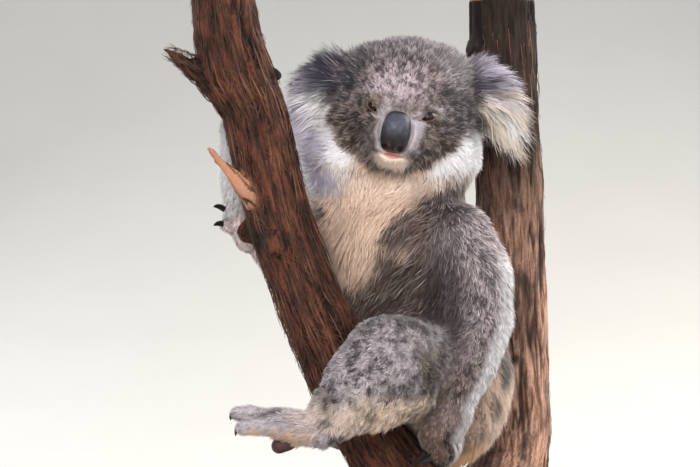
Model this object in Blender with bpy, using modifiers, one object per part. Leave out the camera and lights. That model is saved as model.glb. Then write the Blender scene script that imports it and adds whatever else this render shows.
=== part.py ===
"""A koala resting in a forked tree limb: a life-size museum model on a plain display stand.

The animal sits in the fork and faces its right.  Its right arm goes round the far side of the slanting
limb, its left leg crosses in front of that limb, and its left arm hangs beside the left thigh.
Every solid gives the outer form of the coat.  Left and right are the animal's own.

Places are in millimetres, turned into metres by mm().  +Z is up, -Y is the side the face looks to,
and the origin is the centre of the stand's underside.
"""

from math import radians

import bmesh
import bpy
from mathutils import Matrix, Vector

MM = 0.001
GAP = 0.3 * MM              # clearance between solids that touch
MODEL, CUTTERS = "koala_in_fork", "cutters"

# Stand
BASE_RADIUS, BASE_THICK, BASE_CHAMFER = 172, 20, 4
ROD_RADIUS, ROD_SPACING = 7, 46
ROD_MIDDLE = (50, 22)

# Forked limb: (x, y, z, radius) down each arm of the fork to the saw cut
FOOT_CUT, TOP_CUT = 62, 652      # heights of the saw cuts
SLANTING_LIMB = (
    (-176, -64, 664, 30), (-167, -64, 600, 32), (-158, -64, 565, 34), (-143, -63, 534, 31),
    (-117, -62, 425, 31), (-87, -60, 340, 32), (-56, -57, 267, 32), (-24, -49, 206, 33),
    (6, -27, 165, 35), (34, 4, 128, 39), (49, 21, 95, 42), (52, 25, 40, 46),
)
UPRIGHT_LIMB = (
    (108, 108, 666, 33), (110, 107, 600, 35), (117, 105, 450, 35), (122, 103, 300, 34),
    (124, 98, 205, 35), (118, 89, 172, 37), (98, 68, 142, 39), (70, 42, 112, 42), (52, 25, 40, 46),
)
BROKEN_BRANCH = (
    (-168, -64, 548, 20), (-188, -70, 563, 13.5), (-204, -76, 575, 10), (-218, -79, 584, 7),
    (-229, -81, 589, 4.5),
)
SPLINTER = ((-136, -74, 440, 13), (-155, -84, 458, 10), (-171, -90, 477, 7), (-184, -92, 492, 5))
KNOTS = (
    (-125, -50, 563, 7), (-148, -48, 413, 12), (-120, -90, 402, 12), (90, 96, 596, 20), (-30, -62, 306, 18),
)

# Head: its centre and how far it leans towards the animal's left
HEAD_CENTRE = (7, 8, 534)
HEAD_ROLL, HEAD_YAW = radians(12), radians(-3.5)
EYE_SPREAD, EYE_DEPTH, EYE_HEIGHT, EYE_RADIUS = 27, -60, -6, 8.5
NOSE_CENTRE, NOSE_RADII = (-0.5, -80, -25.5), (14.5, 13, 20)

# Ellipsoids: (x, y, z, radius x, radius y, radius z).  Head masses are in the head's own axes.
HEAD_MASSES = (
    (0, 8, 12, 73, 66, 63),       # cranium
    (0, -22, 18, 56, 45, 44),     # forehead
    (0, -34, -14, 54, 42, 42),    # face
    (0, -58, -28, 31, 29, 28),    # muzzle
    (0, -50, -50, 23, 27, 17),    # chin
    (-49, -6, -30, 33, 44, 37),   # right cheek
    (51, -6, -28, 32, 44, 37),    # left cheek
)
TORSO_MASSES = (
    (-4, 14, 462, 70, 64, 42),    # neck
    (2, 30, 476, 60, 54, 48),     # nape
    (-55, 0, 480, 42, 46, 42),    # right side of the ruff
    (44, 2, 484, 42, 46, 36),     # left side of the ruff
    (38, 24, 262, 80, 82, 92),    # rump
)
SPINE = ((-3, 16, 452, 66), (-2, 12, 408, 81), (12, 20, 344, 89), (26, 24, 290, 86), (36, 24, 262, 80))
EAR_MASSES = {
    "ear_left": (
        (84, 12, 566, 26, 16, 25), (104, 10, 556, 27, 15, 25), (117, 6, 528, 22, 13, 32),
        (117, 3, 500, 17, 11, 24), (98, -4, 520, 16, 11, 28), (76, 12, 549, 22, 20, 26),
    ),
    "ear_right": (
        (-60, 12, 573, 28, 16, 26), (-84, 8, 560, 28, 15, 28), (-94, 4, 530, 22, 13, 32),
        (-90, 0, 506, 18, 12, 24), (-62, 12, 547, 24, 20, 28),
    ),
}

# Limbs: (x, y, z, radius) from the root to the wrist or ankle
LIMBS = {
    "arm_left": (
        (57, -26, 407, 38), (78, -40, 370, 36), (83, -50, 326, 31), (70, -74, 284, 27),
        (52, -94, 246, 20),
    ),
    "arm_right": (
        (-50, 10, 420, 38), (-104, 2, 474, 30), (-153, -4, 516, 26), (-155, -14, 462, 25),
        (-154, -25, 430, 19),
    ),
    "leg_left": (
        (48, -5, 240, 55), (19, -58, 280, 47), (-10, -106, 286, 50), (-52, -122, 252, 37),
        (-76, -123, 227, 25),
    ),
    "leg_right": (
        (18, 52, 242, 54), (-18, 34, 266, 47), (-54, 8, 284, 38), (-50, 6, 250, 30),
        (-42, 2, 216, 20),
    ),
}
ELBOW_OR_KNEE, WRIST_OR_ANKLE = 2, 4      # places in those lists

# Palms and soles, and the digits that grow from them, thumb or big toe first
PALMS = {
    "arm_left": ((53, -94, 240, 19), (47, -99, 216, 20)),
    "arm_right": ((-154, -25, 428, 18), (-146, -29, 408, 17)),
    "leg_left": ((-76, -122, 222, 18), (-106, -122, 228, 15), (-122, -120, 230, 14)),
    "leg_right": ((-36, 4, 204, 16), (-56, -12, 210, 14), (-66, -24, 214, 13)),
}
DIGITS = {
    "arm_left": (
        ((38, -96, 216, 9), (37, -92, 206, 8), (38, -86, 200, 7)),
        ((47, -106, 212, 9), (53, -108, 199, 8.5), (45, -107, 197, 7.5)),
        ((57, -106, 209, 8.5), (62, -107, 200, 8), (56, -105, 193, 7)),
        ((62, -102, 213, 8), (67, -103, 204, 7.5), (63, -99, 197, 7)),
        ((67, -94, 220, 7.5), (71, -93, 212, 7), (68, -89, 205, 6.5)),
    ),
    "arm_right": (
        ((-159, -26, 425, 9), (-166, -30, 431, 7.5), (-171, -33, 434, 6.5)),
        ((-155, -28, 412, 9), (-164, -33, 417, 7.5), (-170, -37, 419, 6.5)),
        ((-145, -30, 406, 9), (-138, -34, 392, 8), (-130, -36, 378, 6.5)),
        ((-140, -26, 404, 9), (-131, -26, 388, 8), (-121, -25, 374, 6.5)),
        ((-137, -20, 406, 8.5), (-126, -17, 394, 7.5), (-115, -15, 382, 6.5)),
    ),
    "leg_left": (
        ((-94, -116, 219, 9), (-108, -117, 210, 9), (-116, -118, 207, 8.5)),
        ((-122, -108, 229, 8), (-138, -105, 230, 7.5), (-149, -104, 229, 6.5)),
        ((-124, -116, 233, 9), (-144, -115, 238, 8.5), (-156, -115, 238, 7)),
        ((-120, -127, 226, 9), (-138, -129, 226, 8.5), (-150, -130, 225, 7.5)),
    ),
    "leg_right": (
        ((-44, -6, 206, 9), (-36, -14, 196, 8.5), (-28, -16, 192, 8)),
        ((-64, -27, 208, 7.5), (-69, -38, 208, 7), (-71, -47, 208, 6)),
        ((-69, -27, 215, 8.5), (-74, -41, 217, 8), (-74, -53, 217, 6.5)),
        ((-68, -22, 222, 8.5), (-76, -34, 226, 8), (-79, -45, 227, 6.5)),
    ),
}
CLAW_RADIUS, CLAW_SINK, CLAW_RINGS = 2.6, 4, 3
CLAW_LENGTH = {"arm": 14, "leg": 7}
CLAW_HOOK = {
    "arm_left": (-6, 1, -1), "arm_right": (3, -3, -5), "leg_left": (2, 0, -7), "leg_right": (4, 4, -3),
}
NAMES = {
    "arm": ("upper_arm", "forearm", "hand"),
    "leg": ("thigh", "shin", "foot"),
}

# How fine each form is: voxel in mm, rounds of smoothing, triangles kept
FINENESS = {
    "body": (4.0, 10, 1480),
    "ear": (3.0, 5, 170),
    "arm": (2.2, 4, 500),
    "leg": (2.2, 5, 520),
    "perch": (4.0, 3, 900),
}
# Finishes by the first word of a piece's name: colour, roughness, metallic
FINISHES = {
    "perch": ("bark", (0.22, 0.12, 0.08), 0.9, 0.0),
    "stand": ("stand_wood", (0.05, 0.035, 0.028), 0.35, 0.0),
    "stand_rod": ("stand_steel", (0.55, 0.55, 0.56), 0.3, 1.0),
    "nose": ("nose_leather", (0.035, 0.035, 0.045), 0.45, 0.0),
    "eye": ("eye_gloss", (0.07, 0.03, 0.015), 0.1, 0.0),
    "claw": ("claw_horn", (0.03, 0.025, 0.022), 0.4, 0.0),
    "neck": ("cream_fur", (0.72, 0.64, 0.55), 0.9, 0.0),
    "": ("grey_fur", (0.30, 0.27, 0.26), 0.9, 0.0),
}
CREASE = radians(40)


def mm(*values):
    """A place given in millimetres, in metres."""
    return Vector(values) * MM


def head_turn():
    """How the head's own axes lie in the world."""
    return Matrix.Rotation(HEAD_YAW, 3, "Z") @ Matrix.Rotation(HEAD_ROLL, 3, "Y")


def head_place(x, y, z):
    """A place in the head's own axes, in metres in the world."""
    return mm(*HEAD_CENTRE) + head_turn() @ mm(x, y, z)


def finish(obj):
    """Smooth shading, and the Principled material of the longest prefix that fits the object's name."""
    prefix = max((start for start in FINISHES if obj.name.startswith(start)), key=len)
    name, colour, roughness, metallic = FINISHES[prefix]
    made = bpy.data.materials.get(name) or bpy.data.materials.new(name)
    made.use_nodes = True
    shader = made.node_tree.nodes["Principled BSDF"]
    shader.inputs["Base Color"].default_value = (*colour, 1)
    shader.inputs["Roughness"].default_value = roughness
    shader.inputs["Metallic"].default_value = metallic
    obj.data.materials.clear()
    obj.data.materials.append(made)
    obj.data.shade_smooth()
    obj.data.set_sharp_from_angle(angle=CREASE)


def add_ellipsoid(form, centre, radii, turn=Matrix.Identity(3)):
    """Adds a closed ellipsoid to the form."""
    placed = Matrix.Translation(centre) @ turn.to_4x4() @ Matrix.Diagonal((*radii, 1))
    bmesh.ops.create_uvsphere(form, u_segments=28, v_segments=18, radius=1, matrix=placed)


def add_chain(form, stations):
    """Adds balls joined by cones, a round limb that tapers from station to station."""
    places = [mm(*station[:3]) for station in stations]
    radii = [station[3] * MM for station in stations]
    for place, radius in zip(places, radii):
        add_ellipsoid(form, place, (radius,) * 3)
    for start, end, wide, narrow in zip(places, places[1:], radii, radii[1:]):
        along = end - start
        turn = along.to_track_quat("Z", "Y").to_matrix().to_4x4()
        bmesh.ops.create_cone(
            form, cap_ends=True, segments=28, radius1=wide, radius2=narrow, depth=along.length,
            matrix=Matrix.Translation((start + end) / 2) @ turn,
        )


def new_object(name, form):
    """A mesh object of the form, in the model's collection."""
    mesh = bpy.data.meshes.new(name)
    form.to_mesh(mesh)
    form.free()
    made = bpy.data.objects.new(name, mesh)
    bpy.data.collections[MODEL].objects.link(made)
    return made


def settle(obj):
    """Takes the object's modifiers into its mesh."""
    graph = bpy.context.evaluated_depsgraph_get()
    mesh = bpy.data.meshes.new_from_object(obj.evaluated_get(graph))
    obj.modifiers.clear()
    obj.data = mesh


def keep_largest(obj):
    """Drops crumbs that a cut leaves beside the main body."""
    form = bmesh.new()
    form.from_mesh(obj.data)
    unseen = set(form.verts)
    islands = []
    while unseen:
        island, edge_of = set(), [unseen.pop()]
        while edge_of:
            vert = edge_of.pop()
            island.add(vert)
            near = {edge.other_vert(vert) for edge in vert.link_edges} & unseen
            unseen -= near
            edge_of.extend(near)
        islands.append(island)
    islands.sort(key=len)
    crumbs = [vert for island in islands[:-1] for vert in island]
    bmesh.ops.delete(form, geom=crumbs, context="VERTS")
    form.to_mesh(obj.data)
    form.free()


def fuse(name, form, fineness):
    """One smooth skin round all the shapes in the form, thinned to its share of triangles."""
    voxel, rounds, triangles = FINENESS[fineness]
    obj = new_object(name, form)
    remesh = obj.modifiers.new("one_skin", "REMESH")
    remesh.mode = "VOXEL"
    remesh.voxel_size = voxel * MM
    smooth = obj.modifiers.new("soften", "SMOOTH")
    smooth.factor, smooth.iterations = 0.5, rounds
    obj.modifiers.new("triangles", "TRIANGULATE")
    settle(obj)
    keep_largest(obj)
    thin = obj.modifiers.new("thin_out", "DECIMATE")
    thin.ratio = min(1.0, triangles / len(obj.data.polygons))
    settle(obj)
    return obj


def cutter_of(obj):
    """A copy of a form, grown by the clearance, to cut its neighbours with."""
    cutter = obj.copy()
    cutter.data = obj.data.copy()
    bpy.data.collections[CUTTERS].objects.link(cutter)
    swell = cutter.modifiers.new("clearance", "DISPLACE")
    swell.strength, swell.mid_level = GAP, 0
    settle(cutter)
    cutter.display_type, cutter.hide_render = "WIRE", True
    return cutter


def carve(obj, *cutters):
    """Cuts away what the object shares with each cutter."""
    for cutter in cutters:
        cut = obj.modifiers.new("cut", "BOOLEAN")
        cut.operation, cut.object = "DIFFERENCE", cutter
        settle(obj)
        keep_largest(obj)


def half(source, name, place, normal):
    """The part of the source that lies past a plane, closed with a flat cut face, as a new object."""
    form = bmesh.new()
    form.from_mesh(source.data)
    everything = form.verts[:] + form.edges[:] + form.faces[:]
    bmesh.ops.bisect_plane(
        form, geom=everything, plane_co=place + normal * GAP / 2, plane_no=normal, clear_inner=True, dist=1e-6
    )
    rim = [edge for edge in form.edges if edge.is_boundary]
    bmesh.ops.holes_fill(form, edges=rim, sides=0)
    bmesh.ops.triangulate(form, faces=[face for face in form.faces if len(face.verts) > 3])
    made = new_object(name, form)
    keep_largest(made)
    return made


def part(source, names, cuts):
    """Divides the source along its length with thin cuts.  cuts are (place, normal towards the next name)."""
    rest = source
    for name, (place, normal) in zip(names, cuts):
        normal = normal.normalized()
        half(rest, name, place, -normal)
        beyond = half(rest, names[-1], place, normal)
        bpy.data.objects.remove(rest)
        rest = beyond
        rest.name = names[-1]


def build_perch():
    """The forked limb with its broken branch, splinter and knots, sawn off flat at the foot and both tops."""
    form = bmesh.new()
    for stations in (SLANTING_LIMB, UPRIGHT_LIMB, BROKEN_BRANCH, SPLINTER):
        add_chain(form, stations)
    for x, y, z, radius in KNOTS:
        add_ellipsoid(form, mm(x, y, z), (radius * MM,) * 3)
    whole = fuse("whole_perch", form, "perch")
    above_saw = half(whole, "above_saw", mm(0, 0, FOOT_CUT), Vector((0, 0, 1)))
    perch = half(above_saw, "perch", mm(0, 0, TOP_CUT), Vector((0, 0, -1)))
    bpy.data.objects.remove(whole)
    bpy.data.objects.remove(above_saw)
    return perch


def build_stand():
    """A round chamfered base and two short rods up to the sawn foot of the perch."""
    base = bmesh.new()
    bmesh.ops.create_cone(
        base, cap_ends=True, segments=44, radius1=BASE_RADIUS * MM, radius2=BASE_RADIUS * MM,
        depth=BASE_THICK * MM, matrix=Matrix.Translation(mm(0, 0, BASE_THICK / 2)),
    )
    new_object("stand_base", base)
    chamfer = bpy.data.objects["stand_base"].modifiers.new("chamfer", "BEVEL")
    chamfer.width, chamfer.segments, chamfer.limit_method = BASE_CHAMFER * MM, 1, "ANGLE"
    foot, head = BASE_THICK * MM + GAP, FOOT_CUT * MM - GAP / 2
    for number, side in ((1, -1), (2, 1)):
        rod = bmesh.new()
        middle = mm(ROD_MIDDLE[0] + side * ROD_SPACING / 2, ROD_MIDDLE[1], 0)
        middle.z = (foot + head) / 2
        bmesh.ops.create_cone(
            rod, cap_ends=True, segments=14, radius1=ROD_RADIUS * MM, radius2=ROD_RADIUS * MM,
            depth=head - foot, matrix=Matrix.Translation(middle),
        )
        new_object(f"stand_rod_{number}", rod)


def build_body():
    """Head, neck, torso and rump as one form, not yet parted."""
    form = bmesh.new()
    for x, y, z, *radii in HEAD_MASSES:
        add_ellipsoid(form, head_place(x, y, z), mm(*radii), head_turn())
    for x, y, z, *radii in TORSO_MASSES:
        add_ellipsoid(form, mm(x, y, z), mm(*radii))
    add_chain(form, SPINE)
    return fuse("body", form, "body")


def build_limb(name):
    """One arm or leg with its palm and digits, not yet parted."""
    form = bmesh.new()
    add_chain(form, LIMBS[name])
    add_chain(form, PALMS[name])
    for digit in DIGITS[name]:
        add_chain(form, digit)
    return fuse(name, form, name.split("_")[0])


def build_ear(name):
    """A round ear with its hanging fringe."""
    form = bmesh.new()
    for x, y, z, *radii in EAR_MASSES[name]:
        add_ellipsoid(form, mm(x, y, z), mm(*radii))
    return fuse(name, form, "ear")


def build_nose_and_eyes():
    """The bare leathery nose and both eyeballs."""
    nose = bmesh.new()
    stretch = head_turn().to_4x4() @ Matrix.Diagonal((*mm(*NOSE_RADII), 1))
    placed = Matrix.Translation(head_place(*NOSE_CENTRE)) @ stretch
    bmesh.ops.create_uvsphere(nose, u_segments=12, v_segments=8, radius=1, matrix=placed)
    made = [new_object("nose", nose)]
    for name, side in (("eye_right", -1), ("eye_left", 1)):
        eye = bmesh.new()
        place = head_place(side * EYE_SPREAD, EYE_DEPTH, EYE_HEIGHT)
        bmesh.ops.create_uvsphere(
            eye, u_segments=10, v_segments=6, radius=EYE_RADIUS * MM, matrix=Matrix.Translation(place)
        )
        made.append(new_object(name, eye))
    return made


def build_claw(name, limb, digit, cutters):
    """A curved claw that grows out of a digit's tip and hooks to one side."""
    knuckle, tip = (mm(*station[:3]) for station in digit[-2:])
    along = (tip - knuckle).normalized()
    curve = bpy.data.curves.new(name, "CURVE")
    curve.dimensions, curve.bevel_depth, curve.bevel_resolution = "3D", CLAW_RADIUS * MM, 1
    curve.use_fill_caps = True
    spline = curve.splines.new("POLY")
    spline.points.add(CLAW_RINGS)
    for step, point in enumerate(spline.points):
        share = step / CLAW_RINGS
        reach = digit[-1][3] - CLAW_SINK + share * (CLAW_LENGTH[limb[:3]] + CLAW_SINK)
        point.co = (*(tip + along * reach * MM + mm(*CLAW_HOOK[limb]) * share ** 2), 1)
        point.radius = 1 - 0.85 * share ** 1.5
    guide = bpy.data.objects.new(name, curve)
    bpy.data.collections[MODEL].objects.link(guide)
    graph = bpy.context.evaluated_depsgraph_get()
    mesh = bpy.data.meshes.new_from_object(guide.evaluated_get(graph))
    bpy.data.objects.remove(guide)
    form = bmesh.new()
    form.from_mesh(mesh)
    bmesh.ops.remove_doubles(form, verts=form.verts, dist=1e-6)
    bmesh.ops.recalc_face_normals(form, faces=form.faces)
    carve(new_object(name, form), *cutters)


def build_claws(limb, *cutters):
    """A claw on every digit but the big toe."""
    kind, side = limb.split("_")
    clawed = DIGITS[limb] if kind == "arm" else DIGITS[limb][1:]
    for number, digit in enumerate(clawed, 1):
        build_claw(f"claw_{NAMES[kind][2]}_{side}_{number}", limb, digit, cutters)


def joint_cut(stations, place):
    """The plane that halves the bend of a limb at one of its stations."""
    before, here, after = (mm(*stations[place + step][:3]) for step in (-1, 0, 1))
    return here, (here - before).normalized() + (after - here).normalized()


def part_limb(name, form):
    """Divides an arm or leg at elbow or knee, and at wrist or ankle."""
    kind, side = name.split("_")
    stations = LIMBS[name][:-1] + PALMS[name][:2]
    names = [f"{piece}_{side}" for piece in NAMES[kind]]
    cuts = [joint_cut(stations, ELBOW_OR_KNEE), joint_cut(stations, WRIST_OR_ANKLE)]
    part(form, names, cuts)


def part_body(form):
    """Divides the body under the chin, at the shoulders and above the hips."""
    cuts = [
        (mm(17, 12, 288), Vector((0.15, 0.1, 1))),
        (mm(8, 6, 440), Vector((0, -0.2, 1))),
        (mm(4, -15, 478), Vector((0.1, -0.3, 1))),
    ]
    part(form, ["rump", "torso", "neck", "head"], cuts)


def main():
    for obj in list(bpy.data.objects):
        bpy.data.objects.remove(obj)
    for name in (MODEL, CUTTERS):
        bpy.context.scene.collection.children.link(bpy.data.collections.new(name))
    bpy.data.collections[CUTTERS].hide_render = True
    build_stand()
    perch, body = build_perch(), build_body()
    limbs = {name: build_limb(name) for name in LIMBS}
    features = build_nose_and_eyes()
    cutters = {form.name: cutter_of(form) for form in (perch, body, *limbs.values(), *features)}
    for name, limb in limbs.items():
        carve(limb, cutters["perch"], cutters["body"])
    carve(limbs["arm_left"], cutters["leg_left"])
    carve(limbs["leg_right"], cutters["leg_left"])
    for name in EAR_MASSES:
        carve(build_ear(name), cutters["body"], cutters["perch"], cutters["arm_right"])
    carve(body, cutters["perch"], *(cutters[form.name] for form in features))
    for name, limb in limbs.items():
        build_claws(name, cutters[name], cutters["perch"])
        part_limb(name, limb)
    part_body(body)
    for cutter in cutters.values():
        bpy.data.objects.remove(cutter)
    for obj in bpy.data.collections[MODEL].objects:
        finish(obj)


main()
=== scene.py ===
"""The koala on its forked limb, dressed: one skin over the solids of flesh, a coat of solid tufts, eyes,
nose, claws, bark and stand. Lengths in the tables are millimetres, and only finished meshes are in metres."""
import math

import bpy
import numpy as np
from mathutils import Matrix, Vector
from mathutils.kdtree import KDTree


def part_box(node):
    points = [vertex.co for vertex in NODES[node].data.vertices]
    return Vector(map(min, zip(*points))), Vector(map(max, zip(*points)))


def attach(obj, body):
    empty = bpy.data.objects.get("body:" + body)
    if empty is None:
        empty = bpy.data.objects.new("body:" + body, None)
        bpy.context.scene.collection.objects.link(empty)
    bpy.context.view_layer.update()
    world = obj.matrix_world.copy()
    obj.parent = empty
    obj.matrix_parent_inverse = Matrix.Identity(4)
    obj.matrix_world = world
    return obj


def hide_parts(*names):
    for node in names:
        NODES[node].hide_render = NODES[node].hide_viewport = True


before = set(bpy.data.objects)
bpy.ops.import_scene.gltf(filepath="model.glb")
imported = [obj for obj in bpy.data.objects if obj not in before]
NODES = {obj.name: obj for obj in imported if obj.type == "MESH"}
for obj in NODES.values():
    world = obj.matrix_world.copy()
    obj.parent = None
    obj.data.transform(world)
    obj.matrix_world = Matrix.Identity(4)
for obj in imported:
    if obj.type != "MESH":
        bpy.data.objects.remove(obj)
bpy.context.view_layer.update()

MM = 0.001
SEED = 41
MOST_FACES = 195000
rng = np.random.default_rng(SEED)

# ---------------------------------------------------------------- camera, light and floor

CAMERA_PLACE = (-0.048, -2.992, 0.4105)
CAMERA_LENS, CAMERA_SENSOR = 154.3, 36
LAMPS_AIM = (0, 0, 0.38)
STUDIO_AIR, STUDIO_STRENGTH = (0.80, 0.82, 0.84, 1), 0.6
FLOOR_SIDE, FLOOR_MIDDLE, SWEEP_RADIUS, SWEEP_STEPS, WALL_HEIGHT = 16, -7, 3.2, 32, 6
COLLAR_RADIUS, COLLAR_HEIGHT = 15, 4
bpy.ops.object.select_all(action="DESELECT")
bpy.ops.object.camera_add(location=CAMERA_PLACE, rotation=(math.pi / 2, 0, 0))
camera = bpy.context.object
camera.data.lens, camera.data.sensor_width = CAMERA_LENS, CAMERA_SENSOR
bpy.context.scene.camera = camera
bpy.context.scene.view_settings.view_transform = "Standard"

# name, place in metres, side in metres, watts, colour
LAMPS = (("key", (-0.4, -2.2, 1.95), 1.7, 88, (1.0, 0.97, 0.93)),
         ("fill", (1.9, -1.8, 0.9), 1.8, 20, (0.93, 0.96, 1.0)),
         ("rim", (1.7, 1.1, 1.9), 1.0, 95, (1.0, 0.95, 0.88)),
         ("back", (-1.5, 1.6, 1.3), 1.2, 22, (0.95, 0.97, 1.0)))
for lamp_name, place, side, watts, colour in LAMPS:
    aim = (Vector(LAMPS_AIM) - Vector(place)).to_track_quat("-Z", "Y").to_euler()
    bpy.ops.object.light_add(type="AREA", location=place, rotation=aim)
    lamp = bpy.context.object
    lamp.name = "lamp_" + lamp_name
    lamp.data.size, lamp.data.energy, lamp.data.color = side, watts, colour

bpy.context.scene.world = bpy.data.worlds.new("studio")
bpy.context.scene.world.use_nodes = True
studio = bpy.context.scene.world.node_tree.nodes["Background"]
studio.inputs["Color"].default_value = STUDIO_AIR
studio.inputs["Strength"].default_value = STUDIO_STRENGTH


# ---------------------------------------------------------------- shaders, written as expressions

def linear(colour):
    """A colour of 0 to 255 a channel, as a screen shows it, in the renderer's own scale."""
    c = np.asarray(colour, float) / 255
    return np.where(c <= 0.04045, c / 12.92, ((c + 0.055) / 1.055) ** 2.4)


class Wire:
    """A socket that takes part in sums."""

    def __init__(self, shader, socket):
        self.shader, self.socket = shader, socket

    def sum(self, operation, *values):
        return self.shader.node("Math", {"operation": operation}, dict(enumerate(values)))

    def __add__(self, other):
        return self.sum("ADD", self, other)

    def __radd__(self, other):
        return self.sum("ADD", other, self)

    def __sub__(self, other):
        return self.sum("SUBTRACT", self, other)

    def __rsub__(self, other):
        return self.sum("SUBTRACT", other, self)

    def __mul__(self, other):
        return self.sum("MULTIPLY", self, other)

    def __rmul__(self, other):
        return self.sum("MULTIPLY", other, self)

    def __pow__(self, other):
        return self.sum("POWER", self, other)

    def abs(self):
        return self.sum("ABSOLUTE", self)

    def above(self, low, high):
        """0 below the low value, 1 above the high one, and a smooth step between them."""
        return self.shader.node("MapRange", {"interpolation_type": "SMOOTHSTEP"},
                                {"Value": self, "From Min": low, "From Max": high})


class Shader:
    """The nodes of one material."""

    def __init__(self, name):
        self.material = bpy.data.materials.new(name)
        self.material.use_nodes = True
        self.tree = self.material.node_tree
        self.tree.nodes.clear()

    def node(self, kind, settings=None, values=None, out=0):
        made = self.tree.nodes.new("ShaderNode" + kind)
        for name, setting in (settings or {}).items():
            setattr(made, name, setting)
        for name, value in (values or {}).items():
            if isinstance(value, Wire):
                self.tree.links.new(value.socket, made.inputs[name])
            else:
                made.inputs[name].default_value = value
        return Wire(self, made.outputs[out]) if made.outputs else made

    def place(self):
        return self.node("TexCoord", out="Object")

    def direction(self, name):
        return self.node("Attribute", {"attribute_name": name}, out="Vector")

    def number(self, name):
        return self.node("Attribute", {"attribute_name": name}, out="Fac")

    def marking(self):
        return self.node("Attribute", {"attribute_name": "marking"}, out="Color")

    def stretch(self, vector, scale):
        return self.node("VectorMath", {"operation": "MULTIPLY"}, {0: vector, 1: scale})

    def noise(self, vector, scale, detail=3.0, rough=0.55):
        return self.node("TexNoise", {}, {"Vector": vector, "Scale": scale, "Detail": detail,
                                          "Roughness": rough})

    def cells(self, vector, scale, feature="F1"):
        return self.node("TexVoronoi", {"feature": feature}, {"Vector": vector, "Scale": scale})

    def filled(self, colour):
        """A wire as it is, or a colour of 0 to 255 as the four numbers that a socket holds."""
        return colour if isinstance(colour, Wire) else (*linear(colour), 1)

    def mix(self, factor, a, b, blend="MIX"):
        return self.node("Mix", {"data_type": "RGBA", "blend_type": blend},
                         {0: factor, 6: self.filled(a), 7: self.filled(b)}, out=2)

    def over(self, colour, *layers):
        """A colour with others laid over it in turn, each given with its factor."""
        for factor, other in layers:
            colour = self.mix(factor, colour, other)
        return colour

    def shade(self, colour, by):
        """The colour made lighter or darker by a number from a wire."""
        return self.mix(1.0, colour, self.node("CombineColor", {}, {0: by, 1: by, 2: by}), "MULTIPLY")

    def finish(self, colour, roughness, height=None, depth=0.001, **constants):
        values = {"Base Color": self.filled(colour), "Roughness": roughness}
        if height is not None:
            values["Normal"] = self.node("Bump", {}, {"Strength": 1.0, "Distance": depth, "Height": height})
        for name, value in constants.items():
            values[name.replace("_", " ")] = value
        surface = self.node("BsdfPrincipled", {}, values)
        self.node("OutputMaterial", {}, {"Surface": surface})
        return self.material


def coat_material():
    s = Shader("coat")
    streak = s.noise(s.place(), 900, 2)
    return s.finish(s.shade(s.marking(), 0.82 + streak * 0.36), 0.72, Specular_IOR_Level=0.28,
                    Sheen_Weight=0.25, Sheen_Roughness=0.5)


def skin_material():
    s = Shader("skin")
    bare = s.number("bare")
    fine, pores = s.noise(s.place(), 700, 4, 0.6), s.cells(s.place(), 900)
    nap = s.noise(s.stretch(s.place(), (1.0, 1.0, 0.35)), 1500, 3)
    relief = (pores * bare + nap * (1 - bare)) * 0.6
    return s.finish(s.shade(s.marking(), 0.8 + fine * 0.4), 0.85 - bare * 0.4, relief, 0.0006,
                    Specular_IOR_Level=0.35)


def eye_material():
    s = Shader("eye_gloss")
    gaze = s.direction("gaze")
    across, up = (s.node("SeparateXYZ", {}, {0: gaze}, out=i) for i in (0, 1))
    radius = (across * across + up * up) ** 0.5
    slit = across.abs() * 3.4 + up.abs() * 0.75
    rays = s.noise(s.stretch(gaze, (1.0, 1.0, 0.2)), 2.2, 4)
    iris = s.mix(radius.above(1.0, 5.0), (26, 13, 10), (14, 8, 8))
    iris = s.mix(rays.above(0.35, 0.75) * 0.5, iris, (42, 21, 14))
    ball = s.mix(radius.above(5.9, 6.5), iris, (34, 20, 19))
    return s.finish(s.mix(slit.above(2.0, 3.0), (5, 4, 5), ball), 0.1, Specular_IOR_Level=0.2)


def nose_material():
    s = Shader("nose_leather")
    cells, grain = s.cells(s.place(), 1500, "DISTANCE_TO_EDGE"), s.noise(s.place(), 240, 5)
    low = s.number("low")
    # the upper leather's blue-grey is its own dark grey with a painted reflection of the sky in it; low lays
    # the lower part's own brown-black
    colour = s.over(s.mix(grain.above(0.3, 0.75), (38, 38, 52), (60, 62, 82)), (low, (15, 8, 9)),
                    # edge: painted shade, the leather darker towards its rim
                    (s.number("edge"), (10, 8, 10)), (s.number("worn"), (112, 66, 62)))
    return s.finish(colour, 0.3 + grain * 0.15 + low * 0.3, cells.above(0.0, 0.25) * 0.22 + grain * 0.4,
                    0.0003, Specular_IOR_Level=0.42)


def claw_material():
    s = Shader("claw_horn")
    grain = s.noise(s.stretch(s.place(), (1, 1, 0.25)), 1100, 3)
    colour = s.mix(grain.above(0.3, 0.8), (9, 7, 8), (26, 21, 21))
    return s.finish(colour, 0.4 + grain * 0.15, grain, 0.0002, Specular_IOR_Level=0.35)


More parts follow.
